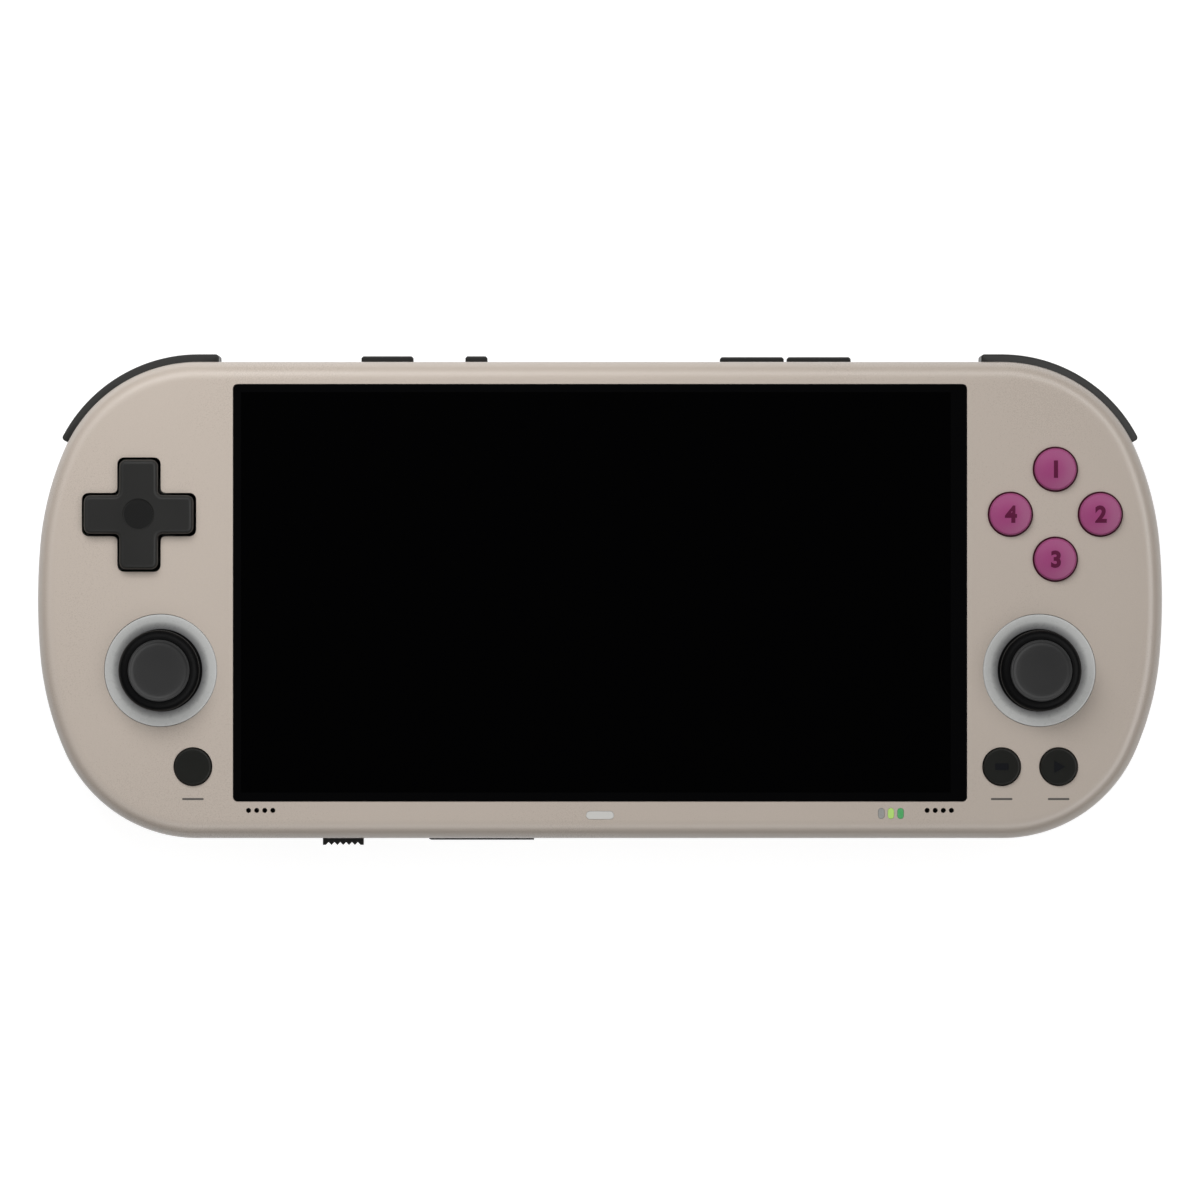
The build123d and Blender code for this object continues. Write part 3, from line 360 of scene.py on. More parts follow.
def swing(centre, radius, start, end, steps):
    # points of an arc, its end left out
    turns = [math.radians(start + (end - start) * i / steps) for i in range(steps)]
    return [(centre[0] + radius * math.cos(t), centre[1] + radius * math.sin(t)) for t in turns]


def circle(x, y, radius, steps):
    return swing((x, y), radius, 0, 360, steps)


def bake(piece):
    # modifiers written into the mesh
    bpy.context.view_layer.update()
    shown = piece.evaluated_get(bpy.context.evaluated_depsgraph_get())
    fresh = bpy.data.meshes.new_from_object(shown)
    piece.modifiers.clear()
    piece.data = fresh


def combine(piece, others, operation="DIFFERENCE"):
    for other in others:
        step = piece.modifiers.new("combine", "BOOLEAN")
        step.operation, step.solver, step.object = operation, "MANIFOLD", other
    bake(piece)
    for other in others:
        bpy.data.objects.remove(other)
    return piece


edgeAngle = 34  # degrees; where a surface turns by more, it has an edge


def bevelled(piece, width, steps=2, angle=edgeAngle):
    step = piece.modifiers.new("bevel", "BEVEL")
    step.width, step.segments, step.limit_method = width * mm, steps, "ANGLE"
    step.angle_limit, step.harden_normals = math.radians(angle), True
    step.use_clamp_overlap = True
    return piece


def finished(piece, finish, bodyName, slotName, *nodes):
    piece.data.materials.clear()
    piece.data.materials.append(finishes[finish])
    piece.data.shade_smooth()
    piece.data.set_sharp_from_angle(angle=math.radians(edgeAngle))
    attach(piece, bodyName)
    if nodes:
        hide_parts(*nodes)
    return piece


def bodyArcs():
    # centre, radius, first and last angle and steps of the three arcs of a quarter outline
    side, haunch = math.radians(body["sideAngle"]), math.radians(body["haunchAngle"])
    big, middle = body["sideRadius"], body["haunchRadius"]
    rise = (big - middle) * math.sin(side) + middle * math.sin(haunch)
    small = (halfWidth - rise) / (1 - math.sin(haunch))
    first = Vector((halfLength - big, 0))
    second = first + (big - middle) * Vector((math.cos(side), math.sin(side)))
    third = second + (middle - small) * Vector((math.cos(haunch), math.sin(haunch)))
    return [
        (first, big, 0, body["sideAngle"], 5),
        (second, middle, body["sideAngle"], body["haunchAngle"], 12),
        (third, small, body["haunchAngle"], 90, 34),
    ]


cornerCentre, cornerRadius = bodyArcs()[2][:2]


def quarter(inset):
    run = []
    for centre, radius, start, end, steps in bodyArcs():
        run += swing(centre, radius - inset, start, end, steps)
    return run + [(cornerCentre[0], halfWidth - inset)]


def bodyPlan(inset):
    run = quarter(inset)
    upper = run + [(-x, y) for x, y in reversed(run)]
    return upper + [(x, -y) for x, y in reversed(upper[1:-1])]


grip = {"reach": 36.0, "corner": 9.0}


def gripPlan(inset, side):
    run = quarter(inset)
    corner = grip["corner"]
    edge = halfLength - grip["reach"] + corner
    run += swing((edge, halfWidth - corner), corner - inset, 92, 180, 10)
    run.append((edge - corner + inset, halfWidth - corner))
    whole = run + [(x, -y) for x, y in reversed(run[1:])]
    return [(side * x, y) for x, y in whole]


def rounded(length, width, corner, x=0.0, y=0.0, steps=6):
    run = []
    for count, (sx, sy) in enumerate(((1, 1), (-1, 1), (-1, -1), (1, -1))):
        centre = (x + sx * (length / 2 - corner), y + sy * (width / 2 - corner))
        run += swing(centre, corner, 90 * count, 90 * count + 90, steps)
        run.append((centre[0] + corner * math.cos(math.radians(90 * count + 90)),
                    centre[1] + corner * math.sin(math.radians(90 * count + 90))))
    clean = []
    for point in run:
        if not clean or math.dist(point, clean[-1]) > 1e-5:
            clean.append(point)
    return clean[:-1] if math.dist(clean[0], clean[-1]) < 1e-5 else clean


def crossPlan(span, arm, corner, inner, x, y, inset=0.0, steps=5):
    reach, half, tip, nook = span / 2 - inset, arm / 2 - inset, max(0.06, corner - inset), inner + inset
    run = []
    for turn in range(4):
        part = swing((reach - tip, half - tip), tip, 0, 90, steps) + [(reach - tip, half)]
        part += [(half + nook - nook * math.sin(math.radians(a)), half + nook - nook * math.cos(math.radians(a)))
                 for a in [90 * i / steps for i in range(steps + 1)]]
        part += swing((half - tip, reach - tip), tip, 0, 90, steps) + [(half - tip, reach)]
        c, s = (1, 0, -1, 0)[turn], (0, 1, 0, -1)[turn]
        run += [(x + a * c - b * s, y + a * s + b * c) for a, b in part]
    return run


def bandPlan(outer, inner, startX, endAngle, side):
    # strip along the top edge and round the upper corner, between two offsets of the outline
    run = [(startX, halfWidth + outer)]
    run += swing(cornerCentre, cornerRadius + outer, 90, endAngle, 24)
    run += swing(cornerCentre, cornerRadius + outer, endAngle, endAngle, 1)
    run += swing(cornerCentre, cornerRadius - inner, endAngle, 90, 24)
    run += [(cornerCentre[0], halfWidth - inner), (startX, halfWidth - inner)]
    return [(side * a, b) for a, b in run]


def hole(name, plan, low, high, level=2):
    return stack(name, [(plan, low), (plan, high)], level)


def roundOff(radius, edgeZ, up, steps):
    # (inset, height) pairs of a quarter round that ends flat
    turns = [math.radians(90 * i / steps) for i in range(1, steps + 1)]
    return [(radius * (1 - math.cos(t)), edgeZ + up * radius * math.sin(t)) for t in turns]


def edgeRound(radius, top, curve, degrees):
    # profile points round the top edge of a button
    return [(radius - curve + curve * math.cos(math.radians(a)), top - curve + curve * math.sin(math.radians(a)))
            for a in degrees]


# Where the controls are
stick = {"x": 73.3, "y": -11.74, "pivot": 9.0, "capTop": 22.1, "hole": 9.45, "dome": 9.4, "domeInside": 8.6}
pad = {"x": -76.9, "y": 14.25, "span": 18.25, "arm": 6.4, "tip": 1.1, "nook": 0.8, "slot": 0.42,
       "top": 18.8, "low": 13.2, "round": 0.75, "flat": 0.12, "dish": 2.63, "dishDeep": 0.28}
faceKeys = {"x": 75.95, "y": 14.3, "reach": 7.5, "radius": 3.5, "gap": 0.3, "top": 18.6, "low": 14.3,
            "round": 0.45, "crown": 0.55}
faceSpots = {"button_x": (0, 1, "1"), "button_a": (1, 0, "2"), "button_b": (0, -1, "3"), "button_y": (-1, 0, "4")}
smallKeys = {"y": -27.8, "radius": 3.05, "gap": 0.2, "top": 17.6, "low": 14.4, "round": 0.3}
smallSpots = {"menu_button": -67.9, "select_button": 67.0, "start_button": 76.5}
glass = {"length": 122.3, "width": 69.5, "y": 1.2, "corner": 0.8, "gap": 0.1, "ledge": 15.85,
         "window": (116.3, 65.5, 0.4)}
speaker = {"in": 37.4, "y": -35.1, "radius": 0.425, "pitch": 1.35, "holes": 4}
windows = {"x": 48.53, "y": -35.6, "pitch": 1.6, "size": (1.1, 1.85, 0.55), "pillY": -35.9, "pill": (4.7, 1.4, 0.7)}
shoulder = {"deep": 3.0, "startX": 63.55, "angle": 24.5, "proud": 2.4, "top": 13.1, "low": 4.1,
            "front": (8.8, 12.9), "rear": (4.3, 8.5), "leverX": 63.8, "leverAngle": 26.5, "leverProud": 1.33,
            "tip": 0.6, "soft": 0.32, "tabStart": 0.4, "tabIn": 2.0, "tabThick": 0.9, "tabAngle": 19.8,
            "pin": (62.0, 36.0), "hub": 1.65, "bore": 0.85, "armLow": 35.23, "armHigh": 37.83, "step": 0.02}

# What opens the side wall: x with width, or x with the seat (width, height, depth) and the way behind it
wallZ = 11.4
topKeys = {"high": 2.9, "spots": ((-35.6, 9.0), (-20.7, 4.0), (31.03, 22.2))}
slider = {"x": -43.0, "seat": (9.5, 2.9, 0.75), "way": (4.9, 1.6)}
cardCover = {"x": -19.9, "seat": (18.0, 3.3, 1.05), "way": (15.1, 1.8)}
port = {"x": 10.0, "size": (9.24, 3.56, 1.78)}
jack = {"x": 40.0, "radius": 2.5}


def faceSpot(name):
    dx, dy, sign = faceSpots[name]
    return faceKeys["x"] + dx * faceKeys["reach"], faceKeys["y"] + dy * faceKeys["reach"]


def padPlan(inset=0.0, grow=0.0):
    return crossPlan(pad["span"] + grow, pad["arm"] + grow, pad["tip"], pad["nook"], pad["x"], pad["y"], inset)


def leverGap(side):
    return bandPlan(shoulder["proud"], shoulder["deep"], shoulder["startX"], shoulder["angle"], side)


def wallHole(x, width, high, near, far):
    low, top = sorted((near, far))
    plan = [(x - width / 2, low), (x + width / 2, low), (x + width / 2, top), (x - width / 2, top)]
    return hole("wallHole", plan, wallZ - high / 2, wallZ + high / 2)


front = {"round": 3.0, "support": 0.35, "lip": 0.3, "bevel": 0.1}


def frontShell():
    seam, edge, top = body["seam"], body["seamEdge"], body["height"]
    turnZ = top - front["round"]
    rings = [(bodyPlan(edge), seam), (bodyPlan(0), seam + edge)]
    rings += [(bodyPlan(0), turnZ - front["lip"]), (bodyPlan(0), turnZ)]
    rings += [(bodyPlan(i), z) for i, z in roundOff(front["round"], turnZ, 1, 9)]
    rings.append((bodyPlan(front["round"] + front["support"]), top))
    shell = stack("frontShell", rings)
    cuts = [hole("cavity", bodyPlan(body["wall"]), seam - 1, roofZ)]

    def throughRoof(name, plan):
        cuts.append(hole(name, plan, roofZ - 1, top + 1))

    fit = 2 * glass["gap"]
    seat = rounded(glass["length"] + fit, glass["width"] + fit, glass["corner"], 0, glass["y"])
    cuts.append(hole("glassSeat", seat, glass["ledge"], top + 1))
    throughRoof("window", rounded(*glass["window"], 0, glass["y"]))
    for side in bothSides.values():
        throughRoof("stickHole", circle(side * stick["x"], stick["y"], stick["hole"], 72))
        for count in range(speaker["holes"]):
            x = side * (halfLength - speaker["in"]) + (count - (speaker["holes"] - 1) / 2) * speaker["pitch"]
            throughRoof("soundHole", circle(x, speaker["y"], speaker["radius"], 20))
    for name in faceSpots:
        throughRoof("keyHole", circle(*faceSpot(name), faceKeys["radius"] + faceKeys["gap"], 56))
    for x in smallSpots.values():
        throughRoof("smallHole", circle(x, smallKeys["y"], smallKeys["radius"] + smallKeys["gap"], 48))
    throughRoof("padSlot", padPlan(grow=2 * pad["slot"]))
    throughRoof("pillHole", rounded(*windows["pill"], 0, windows["pillY"]))
    for count in (-1, 0, 1):
        x = windows["x"] + count * windows["pitch"]
        throughRoof("lightHole", rounded(*windows["size"], x, windows["y"]))

    outside, inside = halfWidth + 1, halfWidth - body["wall"] - 1
    for x, width in topKeys["spots"]:
        cuts.append(wallHole(x, width, topKeys["high"], inside, outside))
    for one in (slider, cardCover):
        width, high, deep = one["seat"]
        cuts.append(wallHole(one["x"], width, high, -outside, deep - halfWidth))
        width, high = one["way"]
        cuts.append(wallHole(one["x"], width, high, -halfWidth, -inside))
    cuts.append(hole("portHole", rounded(*port["size"], port["x"], wallZ, 10), -outside, -inside, 1))
    cuts.append(hole("jackHole", circle(jack["x"], wallZ, jack["radius"], 40), -outside, -inside, 1))
    for side in bothSides.values():
        cuts.append(hole("leverHole", leverGap(side), seam - 1, shoulder["top"]))
    combine(shell, cuts)
    bevelled(shell, front["bevel"])
    finished(shell, "shell_taupe", "chassis", "shell_taupe", "front_shell")


rear = {"back": 2.6, "backRound": 5.0, "gripRound": 6.5, "backBevel": 1.6, "gripBevel": 3.4, "foot": 0.3, "bevel": 0.12}
vents = {"count": 9, "size": (1.4, 14.0, 0.69), "pitch": 3.6, "y": 26.3}
screwSpots = [(66.0, 28.0), (88.0, 1.3), (85.42, -22.43)]
screwSeat = {"well": 2.1, "wellTop": 1.9, "post": (5.2, 5.2, 0.5), "postGap": 0.5, "way": 1.0, "wayLow": 1.0}


def slab(name, planOf, low, radius):
    # solid up to the seam with a rounded lower edge
    seam, edge = body["seam"], body["seamEdge"]
    rings = [(planOf(radius + rear["foot"]), low)]
    rings += [(planOf(i), z) for i, z in reversed(roundOff(radius, low + radius, -1, 9))]
    rings += [(planOf(0), low + radius), (planOf(0), seam - edge), (planOf(edge), seam)]
    return stack(name, rings)


def rearShell():
    seam, wall = body["seam"], body["wall"]
    shell = slab("rearShell", bodyPlan, rear["back"], rear["backRound"])
    grips = [slab("grip", lambda i, s=side: gripPlan(i, s), 0.0, rear["gripRound"]) for side in bothSides.values()]
    combine(shell, grips, "UNION")

    inner = rear["back"] + body["floor"]
    room = [(bodyPlan(wall + rear["backBevel"]), inner), (bodyPlan(wall), inner + rear["backBevel"])]
    cuts = [stack("backRoom", room + [(bodyPlan(wall), seam + 1)])]
    for side in bothSides.values():
        room = [(gripPlan(wall + rear["gripBevel"], side), body["floor"])]
        room.append((gripPlan(wall, side), body["floor"] + rear["gripBevel"]))
        cuts.append(stack("gripRoom", room + [(gripPlan(wall, side), seam + 1)]))
        cuts.append(hole("leverHole", leverGap(side), shoulder["low"], seam + 1))
        for x, y in screwSpots:
            cuts.append(hole("screwWell", circle(side * x, y, screwSeat["well"], 40), -1, screwSeat["wellTop"]))
    for count in range(vents["count"]):
        x = (count - (vents["count"] - 1) / 2) * vents["pitch"]
        cuts.append(hole("vent", rounded(*vents["size"], x, vents["y"], 4), rear["back"] - 1, inner + 1))
    combine(shell, cuts)

    posts, ways = [], []
    for side in bothSides.values():
        for x, y in screwSpots:
            post = rounded(*screwSeat["post"], side * x, y)
            posts.append(hole("screwPost", post, screwSeat["wellTop"], seam - screwSeat["postGap"]))
            ways.append(hole("screwWay", circle(side * x, y, screwSeat["way"], 20), screwSeat["wayLow"], seam + 1))
    combine(shell, posts, "UNION")
    combine(shell, ways)
    bevelled(shell, rear["bevel"])
    finished(shell, "shell_taupe", "chassis", "shell_taupe", "rear_shell")


frontShell()
rearShell()
print("shells built")


def directionPad():
    top, radius, dish, bottom = pad["top"], pad["round"], pad["dish"], pad["top"] - pad["dishDeep"]
    spot = (pad["x"], pad["y"], 0)
    rings = [(padPlan(), pad["low"]), (padPlan(), top - radius - 0.2), (padPlan(), top - radius)]
    rings += [(padPlan(i), z) for i, z in roundOff(radius, top - radius, 1, 6)]
    rings.append((padPlan(radius + pad["flat"]), top))
    piece = stack("directionPad", rings)
    cutter = [(0, bottom), (dish - 0.3, bottom), (dish - 0.16, bottom + 0.05), (dish, top - 0.04),
              (dish + 0.06, top + 0.02), (dish + 0.06, top + 1), (0, top + 1)]
    combine(piece, [lathe("dish", cutter, spot)])
    disc = [(0, bottom - 0.3), (dish - 0.22, bottom - 0.3), (dish - 0.22, bottom + 0.06), (0, bottom + 0.06)]
    finished(lathe("padCentre", disc, spot), "pad_centre", "dpad", "black_plastic")
    finished(piece, "black_plastic", "dpad", "black_plastic", "dpad")


def crowned(r):
    # height of a face button's domed top at a distance from its middle
    reach, crown = faceKeys["radius"] - faceKeys["round"], faceKeys["crown"]
    ball = (reach ** 2 + crown ** 2) / 2 / crown
    return faceKeys["top"] - ball + math.sqrt(ball ** 2 - r ** 2)


def faceButton(name):
    radius, curve = faceKeys["radius"], faceKeys["round"]
    flat = radius - curve
    edge = crowned(flat)
    profile = [(0, faceKeys["low"]), (radius, faceKeys["low"]), (radius, edge - curve - 0.2)]
    profile += edgeRound(radius, edge, curve, range(0, 84, 12))
    profile += [(flat * share, crowned(flat * share)) for share in (0.97, 0.85, 0.7, 0.5, 0.3, 0.12, 0)]
    piece = lathe(name + "_cap", profile, (*faceSpot(name), 0))
    finished(piece, "magenta_plastic", name, "magenta_plastic", name)


def faceCollar(name):
    # band round the foot of a face button: the button's own plastic coloured darker, as painted shade in the gap round
    # it
    size = {"radius": 3.77, "low": 15.2, "top": 16.96, "edge": 0.05, "under": 0.3}
    inner = faceKeys["radius"] - size["under"]
    profile = [(inner, size["low"]), (size["radius"], size["low"]), (size["radius"], size["top"] - size["edge"]),
               (size["radius"] - size["edge"], size["top"]), (inner, size["top"])]
    finished(lathe(name + "_collar", profile, (*faceSpot(name), 0)), "plum_collar", name, "magenta_plastic")


def faceNumber(name):
    # plain number that follows the crowned top
    size = {"font": 4, "bold": 0.17, "high": 2.9, "cuts": 3, "lift": 0.03}
    x, y = faceSpot(name)
    sign = bpy.data.curves.new(name + "_sign", "FONT")
    sign.body, sign.size, sign.offset = faceSpots[name][2], size["font"] * mm, size["bold"] * mm
    carrier = bpy.data.objects.new(name + "_sign", sign)
    bpy.context.scene.collection.objects.link(carrier)
    bpy.context.view_layer.update()
    flat = bpy.data.meshes.new_from_object(carrier.evaluated_get(bpy.context.evaluated_depsgraph_get()))
    bpy.data.objects.remove(carrier)
    work = bmesh.new()
    work.from_mesh(flat)
    xs, ys = [v.co.x for v in work.verts], [v.co.y for v in work.verts]
    middle = Vector(((min(xs) + max(xs)) / 2, (min(ys) + max(ys)) / 2, 0))
    bmesh.ops.triangulate(work, faces=work.faces)
    bmesh.ops.subdivide_edges(work, edges=work.edges, cuts=size["cuts"], use_grid_fill=True)
    fit = size["high"] * mm / (max(ys) - min(ys))
    for vert in work.verts:
        vert.co = (vert.co - middle) * fit
        vert.co.z = (crowned(math.hypot(vert.co.x, vert.co.y) / mm) + size["lift"]) * mm
    work.to_mesh(flat)
    work.free()
    piece = bpy.data.objects.new(name + "_number", flat)
    bpy.context.scene.collection.objects.link(piece)
    piece.location = (x * mm, (y + middleY) * mm, 0)
    finished(piece, "berry_sign", name, "magenta_plastic")


def smallButton(name):
    sign = {"bar": (2.3, 1.15, 0.2), "arrowBack": 0.8, "arrowTip": 1.15, "arrowHalf": 1.1,
            "cut": 0.25, "low": 0.3, "high": 0.12}
    x, y, top = smallSpots[name], smallKeys["y"], smallKeys["top"]
    radius, curve = smallKeys["radius"], smallKeys["round"]
    profile = [(0, smallKeys["low"]), (radius, smallKeys["low"]), (radius, top - curve - 0.1)]
    profile += edgeRound(radius, top, curve, range(0, 91, 15))
    profile += [(radius - curve - 0.1, top), (radius - 0.9, top - 0.02), (0, top - 0.06)]
    piece = lathe(name + "_cap", profile, (x, y, 0), 56)
    back, tip, half = x - sign["arrowBack"], x + sign["arrowTip"], sign["arrowHalf"]
    plans = {"select_button": rounded(*sign["bar"], x, y),
             "start_button": [(back, y - half), (tip, y), (back, y + half)]}
    if name in plans:
        plan = plans[name]
        combine(piece, [hole("signCut", plan, top - sign["cut"], top + 1)])
        inlay = hole(name + "_sign", plan, top - sign["low"], top - sign["high"])
        finished(inlay, "key_sign", name, "black_plastic")
    finished(piece, "small_key", name, "black_plastic", name)


def printedDash(name):
    # plain dash printed under a small button
    size = {"length": 3.6, "width": 0.34, "corner": 0.16, "y": -33.2, "high": 0.012, "sunk": 0.05}
    plan = rounded(size["length"], size["width"], size["corner"], smallSpots[name], size["y"])
    piece = hole(name + "_dash", plan, body["height"] - size["sunk"], body["height"] + size["high"])
    finished(piece, "print_ink", "chassis", "black_plastic")


def dome(radius, degrees):
    # profile points of a ball round the stick's pivot, at angles from its top
    return [(radius * math.sin(math.radians(a)), radius * math.cos(math.radians(a))) for a in degrees]


def thumbStick(side, sign):
    at = (sign * stick["x"], stick["y"], stick["pivot"])
    top = stick["capTop"] - stick["pivot"]
    neck = [(4.2, 8.62), (4.25, 9.4), (4.55, 10.2), (5.1, 10.75), (5.9, 11.12), (6.4, 11.32)]
    rim = [(6.66, top - 1.5), (6.75, top - 1.25), (6.73, top - 0.9), (6.58, top - 0.6), (6.3, top - 0.35),
           (5.95, top - 0.18), (5.6, top - 0.08), (5.25, top - 0.05), (5.22, top - 0.5), (0, top - 0.7)]
    socket = [(0, 9.0), (1.2, 9.0), (1.2, 6.25), (2.2, 6.25)]
    profile = dome(stick["dome"], (69.5, 62, 54, 46, 38, 31, 27)) + neck + rim
    profile += socket + dome(stick["domeInside"], (15, 30, 50, 69.5))
    cap = lathe(side + "StickCap", profile, at, 96)
    finished(cap, "stick_rubber", side + "_stick_cap", "stick_rubber", side + "_stick_cap")
    # the dish is the same rubber as the rim; the difference between the dish's paler grey and the rim's near-black is
    # painted shade
    dish = [(0, top - 0.68), (5.15, top - 0.48), (5.15, top - 0.12), (5.1, top - 0.03), (5.0, top),
            (4.86, top - 0.03), (4.7, top - 0.13), (4.5, top - 0.24), (4.1, top - 0.32), (3.3, top - 0.4),
            (2.0, top - 0.46), (0, top - 0.49)]
    finished(lathe(side + "StickDish", dish, at, 96), "stick_dish", side + "_stick_cap", "stick_rubber")


def ringBand(side, sign):
    # pale band round a stick, dished towards it; its finish paints both a shade and a glow
    profile = [(8.8, 14.7), (9.35, 14.7), (9.35, 16.86), (9.3, 16.96), (9.2, 17.0), (8.9, 16.99), (8.55, 16.93),
               (8.2, 16.82), (7.9, 16.66), (7.6, 16.42), (7.35, 16.18), (7.1, 15.98), (6.95, 15.9), (6.9, 15.84),
               (6.9, 15.7), (8.8, 15.5)]
    piece = lathe(side + "LightRing", profile, (sign * stick["x"], stick["y"], 0), 96)
    finished(piece, "pale_ring", "chassis", "pale_ring", side + "_light_ring")


def leverPlan(sign):
    # strip round the upper corner with both outer ends rounded
    out, deep, tip = shoulder["leverProud"], shoulder["deep"], shoulder["tip"]
    start, end = shoulder["leverX"], shoulder["leverAngle"]
    far = cornerRadius + out - tip
    lean = end + math.degrees(math.asin(tip / far))
    turn = math.radians(lean)
    tipAt = (cornerCentre[0] + far * math.cos(turn), cornerCentre[1] + far * math.sin(turn))
    run = swing((start + tip, halfWidth + out - tip), tip, 180, 90, 6) + [(start + tip, halfWidth + out)]
    run += swing(cornerCentre, cornerRadius + out, 90, lean, 24) + swing(tipAt, tip, lean, end - 90, 6)
    run += swing(cornerCentre, cornerRadius + out - 1.5 * tip, end, end, 1)
    run += swing(cornerCentre, cornerRadius - deep, end, 90, 24)
    run += [(cornerCentre[0], halfWidth - deep), (start, halfWidth - deep)]
    return [(sign * a, b) for a, b in run]


def shoulderLever(side, level):
    # each part stands a step inside the last one, so that no two share a face
    sign, (low, high), name = bothSides[side], shoulder[level], side + "_" + level + "_shoulder"
    lever = bevelled(hole(name + "_strip", leverPlan(sign), low, high), shoulder["soft"], 3, 50)
    bake(lever)
    (x, y), step = shoulder["pin"], shoulder["step"]
    under, over = low + step, high - step
    tab = bandPlan(-shoulder["tabIn"], shoulder["tabIn"] + shoulder["tabThick"],
                   shoulder["leverX"] + shoulder["tabStart"], shoulder["tabAngle"], sign)
    arm = [(x, shoulder["armLow"]), (cornerCentre[0], shoulder["armLow"]),
           (cornerCentre[0], shoulder["armHigh"]), (x, shoulder["armHigh"])]
    arm = [(sign * a, b) for a, b in arm]
    hub = circle(sign * x, y, shoulder["hub"], 40)
    combine(lever, [hole("tab", tab, under, over), hole("arm", arm, under + step, over - step),
                    hole("hub", hub, under, over)], "UNION")
    combine(lever, [hole("pinWay", circle(sign * x, y, shoulder["bore"], 30), low - 1, high + 1)])
    finished(lever, "shoulder_plastic", name, slots[name], name)


def screws():
    size = {"crossHalf": 1.05, "crossThin": 0.2, "crossDeep": 1.35, "turn": 17, "turnStep": 41}
    profile = [(0, 0.72), (1.45, 0.74), (1.72, 0.86), (1.8, 1.05), (1.8, 1.9), (0.9, 1.9), (0.9, 10.2), (0, 10.3)]
    half, thin = size["crossHalf"], size["crossThin"]
    bar = ((-half, -thin), (half, -thin), (half, thin), (-half, thin))
    for side, sign in bothSides.items():
        for count, (x, y) in enumerate(screwSpots):
            piece = lathe(side + "Screw" + str(count + 1), profile, (sign * x, y, 0), 40)
            turn = math.radians(size["turn"] + size["turnStep"] * count)
            for across in (turn, turn + math.pi / 2):
                c, s = math.cos(across), math.sin(across)
                plan = [(sign * x + a * c - b * s, y + a * s + b * c) for a, b in bar]
                combine(piece, [hole("cross", plan, 0, size["crossDeep"])])
            standsFor = ["shell_screws"] if side == "left" and count == 0 else []  # one stands for the whole node
            finished(piece, "screw_steel", "chassis", "steel", *standsFor)


directionPad()
for name in faceSpots:
    faceButton(name)
    faceCollar(name)
    faceNumber(name)
for name in smallSpots:
    smallButton(name)
    printedDash(name)
for side, sign in bothSides.items():
    thumbStick(side, sign)
    ringBand(side, sign)
    for level in ("front", "rear"):
        shoulderLever(side, level)
screws()
print("controls and screws built")


# Frame pieces that keep their shape: finish and width of the softened edges
kept = {
    "front_glass": ("cover_glass", 0.12), "power_button": ("black_plastic", 0.12),
    "function_button": ("black_plastic", 0.12), "volume_up_button": ("black_plastic", 0.12),
    "volume_down_button": ("black_plastic", 0.12), "mode_slider": ("black_plastic", 0.06),
    "card_cover": ("black_plastic", 0.12), "charge_port": ("steel", 0.04), "headphone_jack": ("black_plastic", 0.1),
    "left_speaker": ("black_plastic", 0.0), "right_speaker": ("black_plastic", 0.0),
    "center_light": ("light_window", 0.08), "status_lights": ("light_window", 0.08),
}


def cleanNormals():
    # joins a frame piece's split points and keeps only its real edges sharp
    size = {"merge": 0.001, "sharpAngle": 28}
    group = bpy.data.node_groups.new("cleanNormals", "GeometryNodeTree")
    for way in ("INPUT", "OUTPUT"):
        group.interface.new_socket("Geometry", in_out=way, socket_type="NodeSocketGeometry")
    tree = NodeTree(group)
    raw = tree.node("NodeGroupInput")
    merged = tree.node("GeometryNodeMergeByDistance", {}, {0: raw, "Distance": size["merge"] * mm})
    angle = tree.node("GeometryNodeInputMeshEdgeAngle")
    sharp = tree.node("FunctionNodeCompare", {}, {0: angle, 1: math.radians(size["sharpAngle"])})
    smooth = tree.node("GeometryNodeSetMeshNormal", {}, {0: merged, "Remove Custom": True, "Edge Sharpness": sharp})
    tree.node("NodeGroupOutput", {}, {0: smooth}, ())
    return group


smoothing = cleanNormals()
for name, piece in frame["nodes"].items():
    if piece.hide_render:
        continue
    finish, edge = kept.get(name, (slots[name], 0.0))
    piece.material_slots[0].material = finishes[finish]
    if name in kept:
        piece.modifiers.new("normals", "NODES").node_group = smoothing
        if edge:
            bevelled(piece, edge)
print("frame pieces finished")


def keyLamp():
    look = {"place": (-0.095, 0.175, 0.22), "size": 0.2, "power": 0.49}  # metres and watts
    light = bpy.data.lights.new("key", "AREA")
    light.shape, light.size, light.energy = "DISK", look["size"], look["power"]
    piece = bpy.data.objects.new("key", light)
    piece.location = look["place"]
    piece.rotation_euler = (-Vector(look["place"])).to_track_quat("-Z", "Y").to_euler()
    piece.visible_glossy = False  # the highlights come from the sky's band
    bpy.context.scene.collection.objects.link(piece)


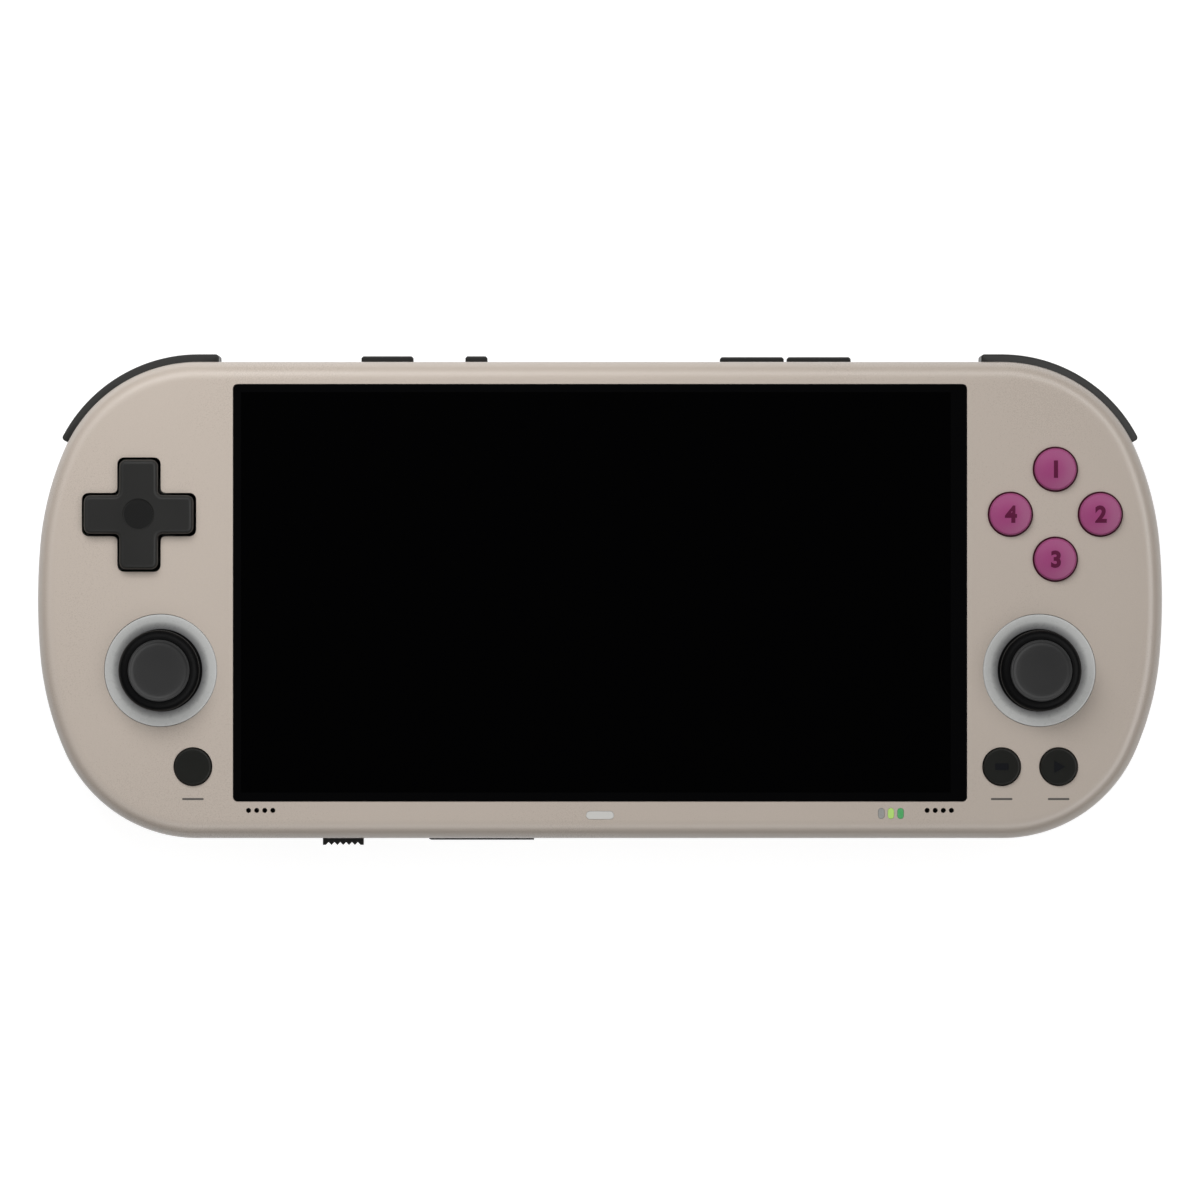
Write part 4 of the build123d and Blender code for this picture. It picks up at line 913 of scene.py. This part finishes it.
def floor():
    # white to the camera and in gloss and glass, mid grey as a source of light
    look = {"reach": 3.0, "sunk": 0.02, "pale": (0.35, 0.35, 0.35), "glow": 0.86, "bounce": (0.32, 0.31, 0.3)}
    reach = look["reach"]
    mesh = bpy.data.meshes.new("floor")
    mesh.from_pydata([(x * reach, y * reach, 0) for x, y in ((-1, -1), (1, -1), (1, 1), (-1, 1))], [], [(0, 1, 2, 3)])
    piece = bpy.data.objects.new("floor", mesh)
    piece.location.z = -look["sunk"] * mm
    bpy.context.scene.collection.objects.link(piece)
    material = bpy.data.materials.new("studio_floor")
    material.use_nodes = True
    paint = NodeTree(material.node_tree)
    paint.nodes.clear()
    rays = paint.node("ShaderNodeLightPath", output=("Is Camera Ray", "Is Glossy Ray", "Is Transmission Ray"))
    pale = paint.node("ShaderNodeBsdfDiffuse", {}, {"Color": look["pale"]})
    glow = paint.node("ShaderNodeEmission", {}, {"Color": (1.0, 1.0, 1.0), "Strength": look["glow"]})
    shown = paint.node("ShaderNodeAddShader", {}, {0: pale, 1: glow})
    plain = paint.node("ShaderNodeBsdfDiffuse", {}, {"Color": look["bounce"]})
    mixed = paint.node("ShaderNodeMixShader", {}, {0: rays[0] + rays[1] + rays[2], 1: plain, 2: shown})
    paint.node("ShaderNodeOutputMaterial", {}, {"Surface": mixed}, ())
    piece.data.materials.append(material)


def sky():
    # bright band round a dark zenith, so that the rounded edges catch a line of light
    look = {"level": 1.18, "right": 1.5, "far": -0.08, "corner": 0.9, "low": (0.015,) * 3, "zenith": (0.01,) * 3,
            "band": (1.0, 1.0, 1.0), "bandLow": (0.56, 0.64), "bandHigh": (0.86, 0.915)}
    world = bpy.data.worlds.new("studio")
    bpy.context.scene.world = world
    world.use_nodes = True
    paint = NodeTree(world.node_tree)
    paint.nodes.clear()
    way = paint.node("ShaderNodeTexCoord", output="Generated")
    x, y, z = paint.node("ShaderNodeSeparateXYZ", {}, {0: way}, (0, 1, 2))
    stops = [(0.0, look["low"]), (look["bandLow"][0], look["low"]), (look["bandLow"][1], look["band"]),
             (look["bandHigh"][0], look["band"]), (look["bandHigh"][1], look["zenith"])]
    colour = paint.node("ShaderNodeValToRGB", {"stops": stops}, {0: z})
    corner = (y - x > 0.0) * (y - x)
    strength = x * look["right"] + y * look["far"] + corner * corner * look["corner"] + look["level"]
    back = paint.node("ShaderNodeBackground", {}, {"Color": colour, "Strength": strength})
    paint.node("ShaderNodeOutputWorld", {}, {"Surface": back}, ())


def camera():
    view = {"lens": 200.0, "sensor": 36.0, "width": 200.16, "aim": (0.0, -0.08), "plane": 17.0}
    data = bpy.data.cameras.new("camera")
    data.lens, data.sensor_width = view["lens"], view["sensor"]
    piece = bpy.data.objects.new("camera", data)
    away = view["width"] * view["lens"] / view["sensor"]
    piece.location = (view["aim"][0] * mm, view["aim"][1] * mm, (view["plane"] + away) * mm)
    bpy.context.scene.collection.objects.link(piece)
    bpy.context.scene.camera = piece


keyLamp()
floor()
sky()
camera()
bpy.context.scene.view_settings.view_transform = "Standard"
print("studio set")
